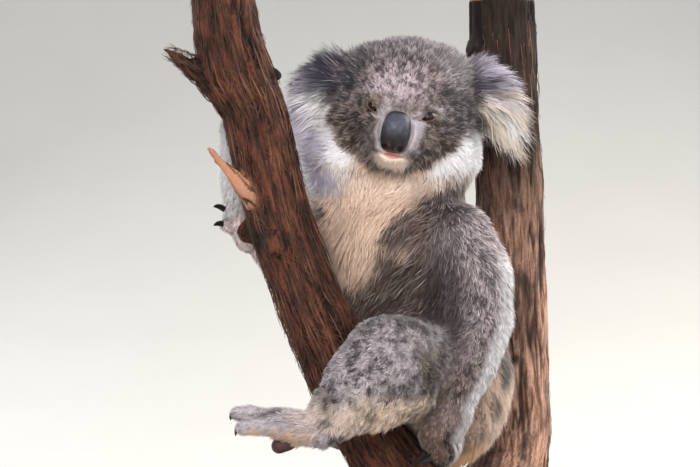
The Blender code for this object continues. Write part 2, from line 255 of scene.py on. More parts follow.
def bark_material():
    s = Shader("bark")
    place, height, cut = s.direction("grain"), s.number("height"), s.number("cut")

    def grain(scale, detail, along, rough=0.55):
        return s.noise(s.stretch(place, (1.0, 1.0, along)), scale, detail, rough)

    fibre, fine, grit = grain(0.32, 5, 0.11, 0.62), grain(1.1, 4, 0.3, 0.65), grain(0.75, 4, 0.55, 0.7)
    blotch, moss = grain(0.045, 4, 0.4), grain(0.11, 4, 0.3)
    red = s.over(s.mix(fibre.above(0.4, 0.6), (22, 10, 7), (100, 56, 39)),
                 (blotch.above(0.45, 0.7) * 0.45, (116, 72, 54)),
                 (moss.above(0.54, 0.68) * 0.6, (32, 18, 14)))
    pink = s.over(s.mix(fibre.above(0.3, 0.7), (100, 70, 57), (190, 148, 126)),
                  (blotch.above(0.5, 0.62) * 0.75, (66, 50, 52)),
                  (moss.above(0.56, 0.66) * 0.5, (156, 128, 116)))
    # painted shade: the upright darker towards its top
    pink = s.shade(pink, 1.38 - height * 1.32)
    pale = s.shade(s.mix(fibre, (150, 98, 74), (190, 142, 114)), 0.55 + fine * 0.8)
    ring = s.node("TexWave", {"wave_type": "RINGS", "rings_direction": "Z"},
                  {"Vector": place, "Scale": 0.09, "Distortion": 3.0, "Detail": 3.0, "Detail Scale": 0.12})
    colour = s.over(s.shade(s.mix(s.number("upright"), red, pink), (0.4 + fine * 0.95) * (0.3 + grit * 1.25)),
                    (s.number("splinter"), pale), (s.number("stain"), (40, 29, 26)),
                    # pit: painted shade in the cracks, the split and the low places between the strands, and
                    # the knob's own near-black
                    (s.number("pit"), (16, 10, 8)), (cut, s.mix(ring, (170, 128, 86), (208, 172, 126))))
    return s.finish(colour, 0.86 - cut * 0.1, fibre * 0.8 + fine * 0.5, 0.0012, Specular_IOR_Level=0.25)


def fibre_material():
    s = Shader("bark_fibres")
    long = s.stretch(s.place(), (1, 1, 0.2))
    tone = s.noise(s.place(), 30, 3)
    colour = s.mix(tone.above(0.35, 0.68), (44, 23, 16), (112, 71, 52))
    return s.finish(s.shade(colour, 0.7 + s.noise(long, 500, 3) * 0.6), 0.85, s.noise(long, 900, 3), 0.0004)


def stand_wood_material():
    s = Shader("stand_wood")
    wave = s.node("TexWave", {"bands_direction": "X"},
                  {"Vector": s.stretch(s.place(), (1, 0.12, 0.6)), "Scale": 22.0, "Distortion": 5.0,
                   "Detail": 4.0, "Detail Scale": 1.4})
    pores = s.noise(s.stretch(s.place(), (1, 0.05, 1)), 900, 3)
    colour = s.shade(s.mix(wave, (64, 44, 32), (98, 70, 50)), 0.75 + pores * 0.5)
    return s.finish(colour, 0.42 + pores * 0.12, wave * 0.3 + pores, 0.0003,
                    Coat_Weight=0.25, Coat_Roughness=0.2)


def stand_steel_material():
    s = Shader("stand_steel")
    brush = s.noise(s.stretch(s.place(), (1, 1, 0.02)), 2600, 3)
    return s.finish(s.shade((158, 158, 160), 0.85 + brush * 0.3), 0.3 + brush * 0.16, brush, 0.00012,
                    Metallic=1.0)


def floor_material():
    s = Shader("floor")
    return s.finish(s.mix(s.noise(s.place(), 6, 4), (196, 195, 192), (203, 202, 199)), 0.75,
                    s.noise(s.place(), 160, 3), 0.0003)


MATERIALS = {"coat": coat_material(), "skin": skin_material(), "eye": eye_material(), "nose": nose_material(),
             "claw": claw_material(), "bark": bark_material(), "fibre": fibre_material(),
             "stand_wood": stand_wood_material(), "stand_steel": stand_steel_material(),
             "floor": floor_material()}


# ---------------------------------------------------------------- working with meshes

def deselect():
    if bpy.context.object and bpy.context.object.mode != "OBJECT":
        bpy.ops.object.mode_set(mode="OBJECT")
    bpy.ops.object.select_all(action="DESELECT")


def activate(piece):
    deselect()
    piece.select_set(True)
    bpy.context.view_layer.objects.active = piece
    return piece


def apply(piece, kind, **settings):
    activate(piece)
    modifier = piece.modifiers.new(kind.lower(), kind)
    for name, value in settings.items():
        setattr(modifier, name, value)
    bpy.ops.object.modifier_apply(modifier=modifier.name)
    return piece


def edit_all(piece, *steps):
    """Runs edit-mode operators, each given as (operator, settings), on the whole piece."""
    activate(piece)
    bpy.ops.object.mode_set(mode="EDIT")
    bpy.ops.mesh.select_all(action="SELECT")
    for operator, settings in steps:
        operator(**settings)
    bpy.ops.object.mode_set(mode="OBJECT")
    return piece


def joined_copy(name, node_names, grow=0.0):
    """One object from merged copies of CAD nodes, grown a little so that neighbours overlap."""
    deselect()
    for node_name in node_names:
        twin = bpy.data.objects.new(name, NODES[node_name].data.copy())
        bpy.context.scene.collection.objects.link(twin)
        twin.select_set(True)
        bpy.context.view_layer.objects.active = twin
    if len(node_names) > 1:
        bpy.ops.object.join()
    piece = bpy.context.view_layer.objects.active
    piece.name = name
    piece.data.materials.clear()
    steps = [(bpy.ops.mesh.remove_doubles, {"threshold": 1e-5})]
    if grow:
        steps.append((bpy.ops.transform.shrink_fatten, {"value": grow * MM}))
    return edit_all(piece, *steps)


def read(layer, field, width=3, kind=float):
    """One field of every vertex, edge, face or corner of a mesh, a row each."""
    found = np.empty(len(layer) * width, kind)
    layer.foreach_get(field, found)
    return found.reshape(-1, width)


def flat(values, kind=np.float32):
    return np.asarray(values, kind).ravel()


def points_of(piece):
    return read(piece.data.vertices, "co") / MM


def move_points(piece, points):
    piece.data.vertices.foreach_set("co", flat(points * MM))
    piece.data.update()


def normals_of(piece):
    return read(piece.data.vertices, "normal")


def edges_of(piece):
    return read(piece.data.edges, "vertices", 2, np.int64)


def spread(edges, values, times):
    """Values at vertices averaged with their neighbours'."""
    a, b = edges[:, 0], edges[:, 1]
    count = len(values)
    shape = values.shape
    values = values.reshape(count, -1).astype(float)
    around = np.maximum(np.bincount(a, minlength=count) + np.bincount(b, minlength=count), 1)[:, None]
    for _ in range(times):
        total = np.stack([np.bincount(a, column[b], count) + np.bincount(b, column[a], count)
                          for column in values.T], axis=1)
        values = (values + total / around) / 2
    return values.reshape(shape)


def set_colours(mesh, name, colours):
    layer = mesh.color_attributes.new(name, "FLOAT_COLOR", "POINT")
    rgba = np.ones((len(colours), 4), np.float32)
    rgba[:, :3] = colours
    layer.data.foreach_set("color", rgba.ravel())


def set_numbers(piece, **fields):
    """Numbers or directions at a piece's vertices, for its material to read."""
    for name, values in fields.items():
        vector = np.ndim(values) == 2
        layer = piece.data.attributes.new(name, "FLOAT_VECTOR" if vector else "FLOAT", "POINT")
        layer.data.foreach_set("vector" if vector else "value", flat(values))


def dress(piece, material, slot, *node_names):
    piece.data.materials.clear()
    piece.data.materials.append(MATERIALS[material])
    activate(piece)
    bpy.ops.object.shade_smooth()
    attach(piece, "root")
    if node_names:
        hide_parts(*node_names)
    return piece


def mesh_piece(name, points, triangles, colours=None, uv=None, facing=None):
    """A piece from arrays: points in millimetres and one triangle a row. Each point may have a colour, a
    place on the map and a direction that the surface seems to face."""
    mesh = bpy.data.meshes.new(name)
    mesh.vertices.add(len(points))
    mesh.vertices.foreach_set("co", flat(points * MM))
    mesh.loops.add(triangles.size)
    mesh.loops.foreach_set("vertex_index", flat(triangles, np.int32))
    mesh.polygons.add(len(triangles))
    mesh.polygons.foreach_set("loop_start", np.arange(0, triangles.size, 3, dtype=np.int32))
    if uv is not None:
        mesh.uv_layers.new(name="OFBake").data.foreach_set("uv", flat(uv[triangles.ravel()]))
    if colours is not None:
        set_colours(mesh, "marking", colours)
    mesh.update(calc_edges=True)
    if facing is not None:
        mesh.shade_smooth()
        own = read(mesh.vertices, "normal")
        mesh.normals_split_custom_set_from_vertices(unit(own * OWN_FACING + facing * SKIN_FACING))
    piece = bpy.data.objects.new(name, mesh)
    bpy.context.scene.collection.objects.link(piece)
    return piece


def tube_faces(rows, sides):
    """The triangles of a tube's wall, whose points come in rows of so many sides."""
    faces = []
    for row in range(rows - 1):
        for i in range(sides):
            a, b = row * sides + i, row * sides + (i + 1) % sides
            faces += [(a, b, b + sides), (a, b + sides, a + sides)]
    return faces


def sphere(name, segments, rings, radius=1.0):
    """A ball about the origin, and its points, in millimetres."""
    deselect()
    bpy.ops.mesh.primitive_uv_sphere_add(segments=segments, ring_count=rings, radius=radius * MM)
    ball = bpy.context.object
    ball.name = name
    return ball, points_of(ball)


# ---------------------------------------------------------------- numbers over space

def unit(vectors):
    return vectors / np.maximum(np.linalg.norm(vectors, axis=-1, keepdims=True), 1e-9)


def step(value, low, high):
    t = np.clip((value - low) / (high - low), 0, 1)
    return t * t * (3 - 2 * t)


def lattice(corner, seed):
    """A number of 0 to 1 for each place in whole numbers."""
    x, y, z = (corner[..., i] for i in range(3))
    n = (x * 374761393 + y * 668265263 + z * 1442695041 + seed * 97531) & 0xFFFFFFFF
    for shift, factor in ((13, 1274126177), (15, 668265263)):
        n = ((n ^ (n >> shift)) * factor) & 0xFFFFFFFF
    return (n ^ (n >> 16) & 0xFFFF).astype(float) % 65536 / 65535


def noise(points, size, seed=0, octaves=2):
    """Smooth noise of 0 to 1, with forms about size millimetres across."""
    total, weight, sum_of_weights = 0.0, 1.0, 0.0
    for octave in range(octaves):
        scaled = points / np.asarray(size, float) * 2 ** octave
        cell = np.floor(scaled).astype(np.int64)
        part = scaled - cell
        part = part * part * (3 - 2 * part)
        value = 0.0
        for corner in np.ndindex(2, 2, 2):
            near = np.where(np.array(corner) == 1, part, 1 - part).prod(axis=-1)
            value = value + near * lattice(cell + np.array(corner), seed + 17 * octave)
        total, sum_of_weights = total + weight * value, sum_of_weights + weight
        weight *= 0.5
    return total / sum_of_weights


def wandering(points, size, seeds):
    """A smooth push for each point, of up to half a millimetre along each of the three directions."""
    return np.stack([noise(points, size, seed, 2) for seed in seeds], axis=1) - 0.5


def patch(points, centre, radii, soft=0.35):
    """1 inside an ellipsoid, 0 outside it, with a soft edge."""
    away = np.linalg.norm((points - np.array(centre, float)) / np.array(radii, float), axis=-1)
    return 1 - step(away, 1 - soft, 1 + soft)


def widest(points, patches, soft):
    """The largest of some patches, each given by its centre and radii."""
    return np.max([patch(points, centre, radii, soft) for centre, radii in patches], axis=0)


def along_chain(points, chain):
    """The nearest place on a chain of (x, y, z, radius): the distance over the radius, the length so far, the
    direction, the centre and the radius."""
    chain = np.array(chain, float)
    best, length, radius = np.full(len(points), 1e9), np.zeros(len(points)), np.ones(len(points))
    direction, centre = np.zeros_like(points), np.zeros_like(points)
    so_far = 0.0
    for a, b in zip(chain[:-1], chain[1:]):
        way = b[:3] - a[:3]
        size = np.linalg.norm(way)
        t = np.clip((points - a[:3]) @ way / size ** 2, 0, 1)
        on = a[:3] + t[:, None] * way
        r = a[3] + t * (b[3] - a[3])
        ratio = np.linalg.norm(points - on, axis=1) / r
        near = ratio < best
        best[near], length[near], radius[near] = ratio[near], (so_far + t * size)[near], r[near]
        direction[near], centre[near] = way / size, on[near]
        so_far += size
    return best, length, direction, centre, radius


def on_chain(chain, reach):
    """A chain's place and radius at some lengths along it, a row each."""
    lengths = lengths_along(chain)
    return np.stack([np.interp(reach, lengths, column) for column in chain.T], axis=1)


def lengths_along(chain):
    """How far along a chain each of its places lies."""
    steps = np.linalg.norm(np.diff(chain[:, :3], axis=0), axis=1)
    return np.concatenate([[0], np.cumsum(steps)])


# ---------------------------------------------------------------- the animal's plan, as in the solids

HEAD_CENTRE = np.array((7.0, 8.0, 534.0))
HEAD_TURN = np.array(Matrix.Rotation(math.radians(-3.5), 3, "Z") @ Matrix.Rotation(math.radians(12), 3, "Y"))
EYE_RADIUS = 8.5
# side: centre in the head, the way it looks, half width, half height above and below, tilt in degrees
EYES = {"right": ((-27, -60, -6), (-0.28, -0.95, 0.13), 5.3, 2.0, 2.6, 37),
        "left": ((27, -60, -6), (0.05, -0.99, 0.08), 5.2, 1.5, 2.3, 18)}
NOSE_CENTRE, NOSE_RADII = np.array((-0.5, -80, -25.5)), np.array((14.5, 13, 20))
LIMBS = {
    "arm_left": ((57, -26, 407, 38), (78, -40, 370, 36), (83, -50, 326, 31), (70, -74, 284, 27),
                 (52, -94, 246, 20), (56, -102, 205, 9)),
    "arm_right": ((-50, 10, 420, 38), (-104, 2, 474, 30), (-153, -4, 516, 26), (-155, -14, 462, 25),
                  (-154, -25, 430, 19), (-148, -31, 395, 9)),
    "leg_left": ((48, -5, 240, 55), (19, -58, 280, 47), (-10, -106, 286, 50), (-52, -122, 252, 37),
                 (-76, -123, 227, 25), (-152, -116, 230, 12)),
    "leg_right": ((18, 52, 242, 54), (-18, 34, 266, 47), (-54, 8, 284, 38), (-50, 6, 250, 30),
                  (-42, 2, 216, 20), (-72, -30, 214, 10))}
PALMS = {
    "arm_left": ((53, -94, 240, 19), (47, -99, 216, 20)),
    "arm_right": ((-154, -25, 428, 18), (-146, -29, 408, 17)),
    "leg_left": ((-76, -122, 222, 18), (-106, -122, 228, 15), (-122, -120, 230, 14)),
    "leg_right": ((-36, 4, 204, 16), (-56, -12, 210, 14), (-66, -24, 214, 13))}
# the left hand closes on the limb: the place across that its skin is drawn to, the shift, and the reach kept
GRIP = (38, -6, 0.71)
# the stations along each digit, thumb or big toe first
DIGITS = {
    "arm_left": (((38, -96, 216, 9), (37, -93, 206, 8), (32, -90, 201, 7)),
                 ((47, -106, 212, 9), (53, -108, 199, 8.5), (45, -107, 197, 7.5)),
                 ((57, -106, 209, 8.5), (62, -107, 200, 8), (56, -105, 193, 7)),
                 ((62, -102, 213, 8), (67, -103, 204, 7.5), (63, -99, 197, 7)),
                 ((67, -94, 220, 7.5), (71, -93, 212, 7), (68, -89, 205, 6.5))),
    "arm_right": (((-159, -26, 425, 9), (-166, -30, 431, 7.5), (-171, -33, 434, 6.5)),
                  ((-155, -28, 412, 9), (-164, -33, 417, 7.5), (-170, -37, 419, 6.5)),
                  ((-145, -30, 406, 9), (-138, -34, 392, 8), (-130, -36, 378, 6.5)),
                  ((-140, -26, 404, 9), (-131, -26, 388, 8), (-121, -25, 374, 6.5)),
                  ((-137, -20, 406, 8.5), (-126, -17, 394, 7.5), (-115, -15, 382, 6.5))),
    "leg_left": (((-94, -116, 219, 9), (-108, -117, 210, 9), (-116, -118, 207, 8.5)),
                 ((-122, -108, 229, 8), (-138, -105, 230, 7.5), (-149, -104, 229, 6.5)),
                 ((-124, -116, 233, 9), (-144, -115, 238, 8.5), (-156, -115, 238, 7)),
                 ((-120, -127, 226, 9), (-138, -129, 226, 8.5), (-150, -130, 225, 7.5))),
    "leg_right": (((-44, -6, 206, 9), (-36, -14, 196, 8.5), (-28, -16, 192, 8)),
                  ((-64, -27, 208, 7.5), (-69, -38, 208, 7), (-71, -47, 208, 6)),
                  ((-69, -27, 215, 8.5), (-74, -41, 217, 8), (-74, -53, 217, 6.5)),
                  ((-68, -22, 222, 8.5), (-76, -34, 226, 8), (-79, -45, 227, 6.5)))}


def gripped(x):
    """The left hand closes on the limb, so its skin is drawn in across: a place's new x."""
    return GRIP[0] + GRIP[1] + (x - GRIP[0]) * GRIP[2]


DIGITS["arm_left"] = tuple(tuple((gripped(x), y, z, r) for x, y, z, r in digit)
                           for digit in DIGITS["arm_left"])
PALMS["arm_left"] = (PALMS["arm_left"][0], (gripped(PALMS["arm_left"][1][0]), *PALMS["arm_left"][1][1:]))
# a claw's length past its digit, its radius at the root, and the way it hooks
CLAWS = {"arm_left": (8, 4.9, (-6, 0, -4)), "arm_right": (12, 3.6, (3, -3, -6)),
         "leg_left": (5.5, 2.6, (6, 0, -7)), "leg_right": (7, 2.6, (4, 4, -3))}
PARTS_OF_LIMB = {"arm": ("upper_arm", "forearm", "hand"), "leg": ("thigh", "shin", "foot")}
FLESH = ["head", "neck", "torso", "rump", "ear_left", "ear_right"]
FLESH += [f"{part}_{side}" for parts in PARTS_OF_LIMB.values() for part in parts
          for side in ("left", "right")]
KINDS = [name.removesuffix("_left").removesuffix("_right") for name in FLESH]

# the coat's depth, which the skin lies inside the solids, a tuft's length and width, the tufts on a square
# centimetre before each layer's share, and their disorder
COAT = {"head": (4.2, 7, 0.7, 82, 0.4), "neck": (7, 15, 0.8, 52, 0.22), "torso": (8, 16, 0.82, 48, 0.25),
        "rump": (7.5, 12, 0.85, 44, 0.35), "ear": (6.2, 18, 0.78, 64, 0.2),
        "upper_arm": (6.2, 10.5, 0.8, 58, 0.4), "forearm": (5.0, 8.5, 0.75, 62, 0.45),
        "hand": (1.6, 3.6, 0.6, 84, 0.2), "thigh": (6.0, 8, 0.72, 66, 0.8), "shin": (5.0, 7, 0.7, 68, 0.8),
        "foot": (1.6, 3.8, 0.6, 88, 0.3)}
# where each ear grows from, and how much of the solid's reach its skin keeps: across, deep, above and below
EAR_ROOTS = {"left": ((52, 14, 556), (0.87, 0.9, 0.97, 0.8)),
             "right": ((-40, 12, 560), (0.88, 0.9, 0.92, 0.86))}


def in_head(points):
    """Places given from the head's centre, in the tilted head's own directions."""
    return (points - HEAD_CENTRE) @ HEAD_TURN
def from_head(points):
    return points @ HEAD_TURN.T + HEAD_CENTRE


# ---------------------------------------------------------------- the skin

# the voxels of the skin and of the bark, and how far around the digits' stations the skin is cut finer
SKIN_GRAIN, BARK_GRAIN, FINER_DIGITS = 2.9, 2.3, 11
# places on the face around which its skin is cut finer, and how far
FINER_FACE = ((((0, -75, -25), (-27, -60, -6), (27, -60, -6), (0, -70, -50)), 34),
              (((-27, -60, -6), (27, -60, -6)), 17),
              (((0, -80, -47), (-12, -78, -46), (12, -78, -46)), 15))
# the muzzle's short hair, centre and radii, where the skin is set and where the tufts grow
MUZZLE_SKIN = (((0, -74, -26), (34, 26, 36)), ((0, -62, 6), (46, 26, 20)))
MUZZLE_HAIR = (((0, -74, -26), (34, 30, 36)), ((0, -64, 6), (46, 26, 22)))


def weights_of(regions):
    """How much each vertex belongs to each node of flesh, by the node's name."""
    return {name: regions[:, i] for i, name in enumerate(FLESH)}


def owned(weight, owners):
    """How much each vertex belongs to any of some nodes, whose names are given in one string."""
    return sum(weight[name] for name in owners.split())


def subdivide_near(piece, centres, reach):
    """Cuts in two the faces that lie near any of some places, in millimetres."""
    activate(piece)
    middles = read(piece.data.polygons, "center") / MM
    near = np.zeros(len(middles), bool)
    for centre in centres:
        near |= np.linalg.norm(middles - np.array(centre), axis=1) < reach
    mesh = piece.data
    for layer, chosen in ((mesh.vertices, False), (mesh.edges, False), (mesh.polygons, near)):
        layer.foreach_set("select", np.full(len(layer), chosen))
    bpy.ops.object.mode_set(mode="EDIT")
    bpy.ops.mesh.select_mode(type="FACE")
    bpy.ops.mesh.subdivide(number_cuts=1, smoothness=0)
    bpy.ops.object.mode_set(mode="OBJECT")


def regions_of(points, edges):
    """How much each vertex belongs to each node of flesh."""
    samples, owners = [], []
    for index, name in enumerate(FLESH):
        mesh = NODES[name].data
        corners = np.array([v.co for v in mesh.vertices]) / MM
        mesh.calc_loop_triangles()
        triangles = np.array([t.vertices for t in mesh.loop_triangles])
        for weights in ((1 / 3, 1 / 3, 1 / 3), (0.6, 0.2, 0.2), (0.2, 0.6, 0.2), (0.2, 0.2, 0.6)):
            samples.append(sum(w * corners[triangles[:, i]] for i, w in enumerate(weights)))
            owners += [index] * len(triangles)
    samples = np.concatenate(samples)
    tree = KDTree(len(samples))
    for i, sample in enumerate(samples):
        tree.insert(sample, i)
    tree.balance()
    nearest = np.array([owners[tree.find(point)[1]] for point in points])
    return spread(edges, np.eye(len(FLESH))[nearest], 6)


def region_value(regions, column):
    """One column of the coat's table, blended over the vertices."""
    return regions @ np.array([COAT[kind][column] for kind in KINDS], float)


def eye_ring(local, side):
    """How far out from an eye's opening each place is, 1 at its rim, and its place across and up from it."""
    centre, way, wide, above, below, tilt = EYES[side]
    out, sign = unit(np.array(way, float)), 1 if side == "left" else -1
    across = unit(np.cross((0, 0, 1.0), out)) * -sign
    across = across * np.sign(across[0] * sign)
    up = np.cross(out, across)
    up = up * np.sign(up[2])
    offset, turn = local - np.array(centre, float), math.radians(tilt)
    u0, v0 = offset @ across, offset @ up
    u, v = u0 * math.cos(turn) + v0 * math.sin(turn), -u0 * math.sin(turn) + v0 * math.cos(turn)
    inner = np.clip(-u / wide, 0, 2)
    ring = np.hypot(u / (wide * (1 + 0.22 * inner)), v / np.where(v > 0, above, below))
    return np.where(offset @ out > -9, ring, 99.0), u, v


def sculpt_face(points):
    """The nose's hollow, mouth, eye sockets, lids and brows, moved in the head's own directions."""
    local = in_head(points)
    front = step(-local[:, 1], 20, 45)
    x, _, z = local.T
    # the hollow that the nose sits in, with a fold of skin at each side of it
    rim = np.linalg.norm((local[:, [0, 2]] - NOSE_CENTRE[[0, 2]]) / (NOSE_RADII[[0, 2]] + 1.2), axis=1)
    local[:, 1] += front * (7.0 * (1 - step(rim, 0.62, 0.98)) + 1.4 * np.exp(-((rim - 1.02) / 0.09) ** 2)
                            - 1.5 * np.exp(-((rim - 1.28) / 0.16) ** 2) * (z < -5))
    # the mouth: a curved groove between the lips, drooping at its corners, with a full lower lip
    line = -48.2 - 2.2 * np.exp(-(x / 7) ** 2) + 1.6 * np.exp(-((np.abs(x) - 15) / 7) ** 2)
    reach = 1 - step(np.abs(x), 24, 29)
    groove = np.exp(-((z - line) / 1.1) ** 2) * reach * front
    lower = np.exp(-((z - line + 4.2) / 3.0) ** 2) * (1 - step(np.abs(x), 8, 20)) * front
    upper = np.exp(-((z - line - 3.2) / 2.2) ** 2) * (1 - step(np.abs(x), 16, 25)) * front
    local[:, 1] += 2.3 * groove - 2.2 * lower - 1.1 * upper
    for side, (centre, way, *_) in EYES.items():
        out = unit(np.array(way, float))
        offset = local - np.array(centre, float)
        w = offset @ out
        ring, u, v = eye_ring(local, side)
        near = (w > -14) & (ring < 4.2) & (np.linalg.norm(offset, axis=1) < 26)
        ball = np.sqrt(np.maximum(EYE_RADIUS ** 2 - u ** 2 - v ** 2, 36.0))
        lid = ball + 0.75 + 0.5 * np.exp(-((ring - 1.28) / 0.2) ** 2)
        inside = np.minimum(ball, w) - 3.2
        crease = 1.3 * np.exp(-((ring - 1.85) / 0.16) ** 2) * step(v, -2, 2) * step(u, -6, -2)
        bag = 0.7 * np.exp(-((ring - 1.75) / 0.2) ** 2) * step(-v, 0, 3)
        target = np.where(ring < 1, inside + (lid - inside) * step(ring, 0.9, 1.0),
                          lid + (w - lid) * step(ring, 1.45, 2.7)) - crease - bag
        brow = 1.6 * np.exp(-((ring - 2.6) / 0.55) ** 2) * step(v, 2, 6)
        moved = np.where(near, target + brow - w, 0.0) * (1 - step(ring, 3.4, 4.2))
        local += moved[:, None] * out
    return from_head(local)


def relax(points, edges, times, amount):
    """Points drawn towards the middle of their neighbours, by an amount of 0 to 1 at each."""
    for _ in range(times):
        points = points + (spread(edges, points, 1) - points) * 2 * np.asarray(amount)[..., None]
    return points


def clefts(points):
    """1 in the furrows between two digits, 0 on them."""
    furrow = np.zeros(len(points))
    for limb, digits in DIGITS.items():
        palm = PALMS[limb]
        middle = np.array(palm[-1][:3], float)
        some = np.flatnonzero(np.linalg.norm(points - middle, axis=1) < 60)
        gaps = []
        for digit in digits:
            root = tuple((np.array(digit[0]) * 0.55 + np.array(palm[-1]) * 0.45))
            _, _, _, centre, radius = along_chain(points[some], (root[:3] + (digit[0][3],), *digit))
            gaps.append(np.linalg.norm(points[some] - centre, axis=1) - radius)
        first, second = np.sort(np.array(gaps), axis=0)[:2]
        close = 1 - step(np.maximum(first, 0), 3, 7)
        furrow[some] = np.maximum(furrow[some], (1 - step(second - first, 0.6, 2.6)) * close)
    return furrow


def sculpt_digits(points, edges):
    """Hands and feet drawn to the surface of their palms, fingers and toes, so that clefts part them."""
    for limb, palm in PALMS.items():
        first, second = (np.array(station[:3], float) for station in palm[:2])
        ahead = (points - first) @ unit(second - first)
        close = np.linalg.norm(points - np.array(palm[-1][:3]), axis=1) < 75
        amount = (step(ahead, -8, 8) * close)[:, None]
        some = np.flatnonzero(amount[:, 0] > 0)
        for _ in range(4):
            here = points[some]
            distance, out = np.full(len(some), 1e9), np.zeros((len(some), 3))
            for chain in (palm, *DIGITS[limb]):
                _, _, _, centre, radius = along_chain(here, chain)
                away = np.linalg.norm(here - centre, axis=1)
                gap = away - (radius - 1.0)
                nearer = gap < distance
                distance[nearer] = gap[nearer]
                out[nearer] = ((here - centre) / np.maximum(away, 1e-6)[:, None])[nearer]
            points[some] = here - out * np.clip(distance, -4, 4)[:, None] * amount[some] * 0.8
        points = relax(points, edges, 1, amount[:, 0] * 0.35)
    return points


def build_skin():
    skin = joined_copy("skin", FLESH, grow=0.55)
    apply(skin, "REMESH", mode="VOXEL", voxel_size=SKIN_GRAIN * MM, adaptivity=0)
    edges, points = edges_of(skin), points_of(skin)
    regions = regions_of(points, edges)
    ends = sum(regions[:, i] for i, name in enumerate(FLESH) if name.startswith(("hand", "foot")))
    move_points(skin, relax(points, edges, 14, 0.6 - 0.5 * ends))
    points = points_of(skin)
    depth = spread(edges, region_value(regions, 0), 3)
    hand = regions[:, FLESH.index("hand_left")]
    points[:, 0] += (gripped(points[:, 0]) - points[:, 0]) * hand * step(-points[:, 2], -246, -216)
    for side, (base, kept) in EAR_ROOTS.items():
        away = points - np.array(base, float)
        keep = np.where(away[:, 2:] > 0, kept[:3], (*kept[:2], kept[3]))
        points = points - away * (1 - keep) * regions[:, [FLESH.index("ear_" + side)]]
    move_points(skin, points)
    local = in_head(points)
    muzzle = widest(local, MUZZLE_SKIN, 0.4)
    depth = depth * (1 - 0.72 * muzzle) + 1.6 * patch(local, (0, -20, -40), (80, 60, 30)) * (1 - muzzle)
    move_points(skin, points - normals_of(skin) * depth[:, None])
    points = points_of(skin)
    move_points(skin, relax(points, edges, 4, 0.5 - 0.4 * ends))
    edit_all(skin, (bpy.ops.uv.smart_project, {"angle_limit": math.radians(66), "island_margin": 0.002}))
    skin.data.uv_layers.active.name = "OFBake"
    for places, reach in FINER_FACE:
        subdivide_near(skin, from_head(np.array(places, float)), reach)
    stations = [station[:3] for digits in DIGITS.values() for digit in digits for station in digit]
    subdivide_near(skin, stations, FINER_DIGITS)
    move_points(skin, sculpt_digits(sculpt_face(points_of(skin)), edges_of(skin)))
    return skin


# ---------------------------------------------------------------- the lie of the coat

SPINE = np.array((10, 20, 0.0))
# where each ear's hair fans out from, the way its upper and its lower hair hangs
EAR_FANS = {"left": ((58, 14, 548), (0.25, 0, -0.35), (0.45, 0, -1.05)),
            "right": ((-44, 12, 556), (-0.25, 0, 0.1), (-0.45, 0, -1.05))}
# where the hair of the chest and belly sweeps across, centre, radii and how much towards the animal's left
CROSS_FLOWS = (((24, -70, 445), (46, 70, 34), -0.9), ((20, -76, 400), (34, 60, 28), -1.0),
               ((6, -76, 345), (50, 60, 36), -1.3), ((-66, -50, 480), (30, 60, 50), 0.5))


def lie_of_coat(points, normals, regions, edges):
    """The way the hair points at each vertex, along the skin."""
    local = in_head(points)
    weight = {name: column[:, None] for name, column in weights_of(regions).items()}
    chest = weight["torso"] + weight["neck"]
    outward = unit((points - SPINE) * (1, 1, 0))
    down = np.array((0, 0, -1.0)) + 0.22 * outward
    way = (weight["torso"] + weight["rump"] + weight["neck"]) * unit(down)
    for centre, radii, across in CROSS_FLOWS:
        way += chest * np.array((across, 0, 0)) * patch(points, centre, radii, 0.7)[:, None]
    from_nose = unit(local - np.array((0, -92, -16.0)))
    from_nose = unit(from_nose + np.array((0, 0.25, 0.0)))
    back = np.array((0, 0.35, -0.94))
    nape = step(local[:, 1:2], 10, 55)
    way += weight["head"] * unit(unit(from_nose @ HEAD_TURN.T) * (1 - nape) + back * nape
                                 + np.array((0, 0, -0.35)) * step(-local[:, 2:], 0, 45))
    for side, (base, hang, fall) in EAR_FANS.items():
        fan = unit(points - np.array(base, float))
        fringe = step(562 - points[:, 2:], -10, 40)
        way += weight["ear_" + side] * unit(fan * (1 - 0.35 * fringe) + np.array(hang) * (1 - fringe)
                                            + np.array(fall) * fringe)
    for limb, chain in LIMBS.items():
        kind, side = limb.split("_")
        share = sum(weight[f"{part}_{side}"] for part in PARTS_OF_LIMB[kind])
        direction = along_chain(points, chain)[2]
        way += share * unit(direction + np.array((0, 0, -0.28)))
    for _ in range(3):
        way = way - normals * (way * normals).sum(axis=1, keepdims=True)
        way = spread(edges, unit(way), 5)
    whirl = noise(points, 24, 5) - 0.5
    side = np.cross(normals, way)
    way = unit(way) + side * whirl[:, None] * 1.1
    return unit(way - normals * (way * normals).sum(axis=1, keepdims=True))


# ---------------------------------------------------------------- markings, the same on skin and coat

SHADES = {
    "grey": (104, 85, 79), "arm": (176, 161, 164), "leg": (195, 184, 190), "dark": (38, 28, 29),
    "brown_grey": (112, 93, 84), "cream": (222, 191, 171), "white": (240, 238, 240),
    "pinkish": (210, 192, 200), "ochre": (226, 172, 118), "belly": (72, 57, 49), "crown": (56, 44, 60),
    "olive": (126, 110, 95), "ear_dark": (48, 44, 62), "lavender": (196, 188, 204), "lid": (46, 27, 25),
    "pink": (150, 116, 118), "maroon": (106, 68, 62), "lip": (214, 146, 140), "pad": (62, 34, 34),
    "hand": (106, 82, 70), "foot": (198, 188, 196), "peach": (232, 196, 170), "chin": (252, 228, 212),
    # painted_shade_lavender is painted shade: white fur drawn towards a cool lavender grey where it lies in
    # shade
    "painted_shade_lavender": (142, 133, 168), "blush": (252, 232, 230), "slit": (26, 19, 21),
    "pale_fleck": (206, 192, 190), "cream_white": (226, 204, 190), "fluff": (255, 228, 206),
    "muzzle": (196, 188, 196), "fleck": (44, 38, 44), "violet": (150, 150, 226), "fringe": (214, 200, 186)}
HUES = {name: linear(value) for name, value in SHADES.items()}

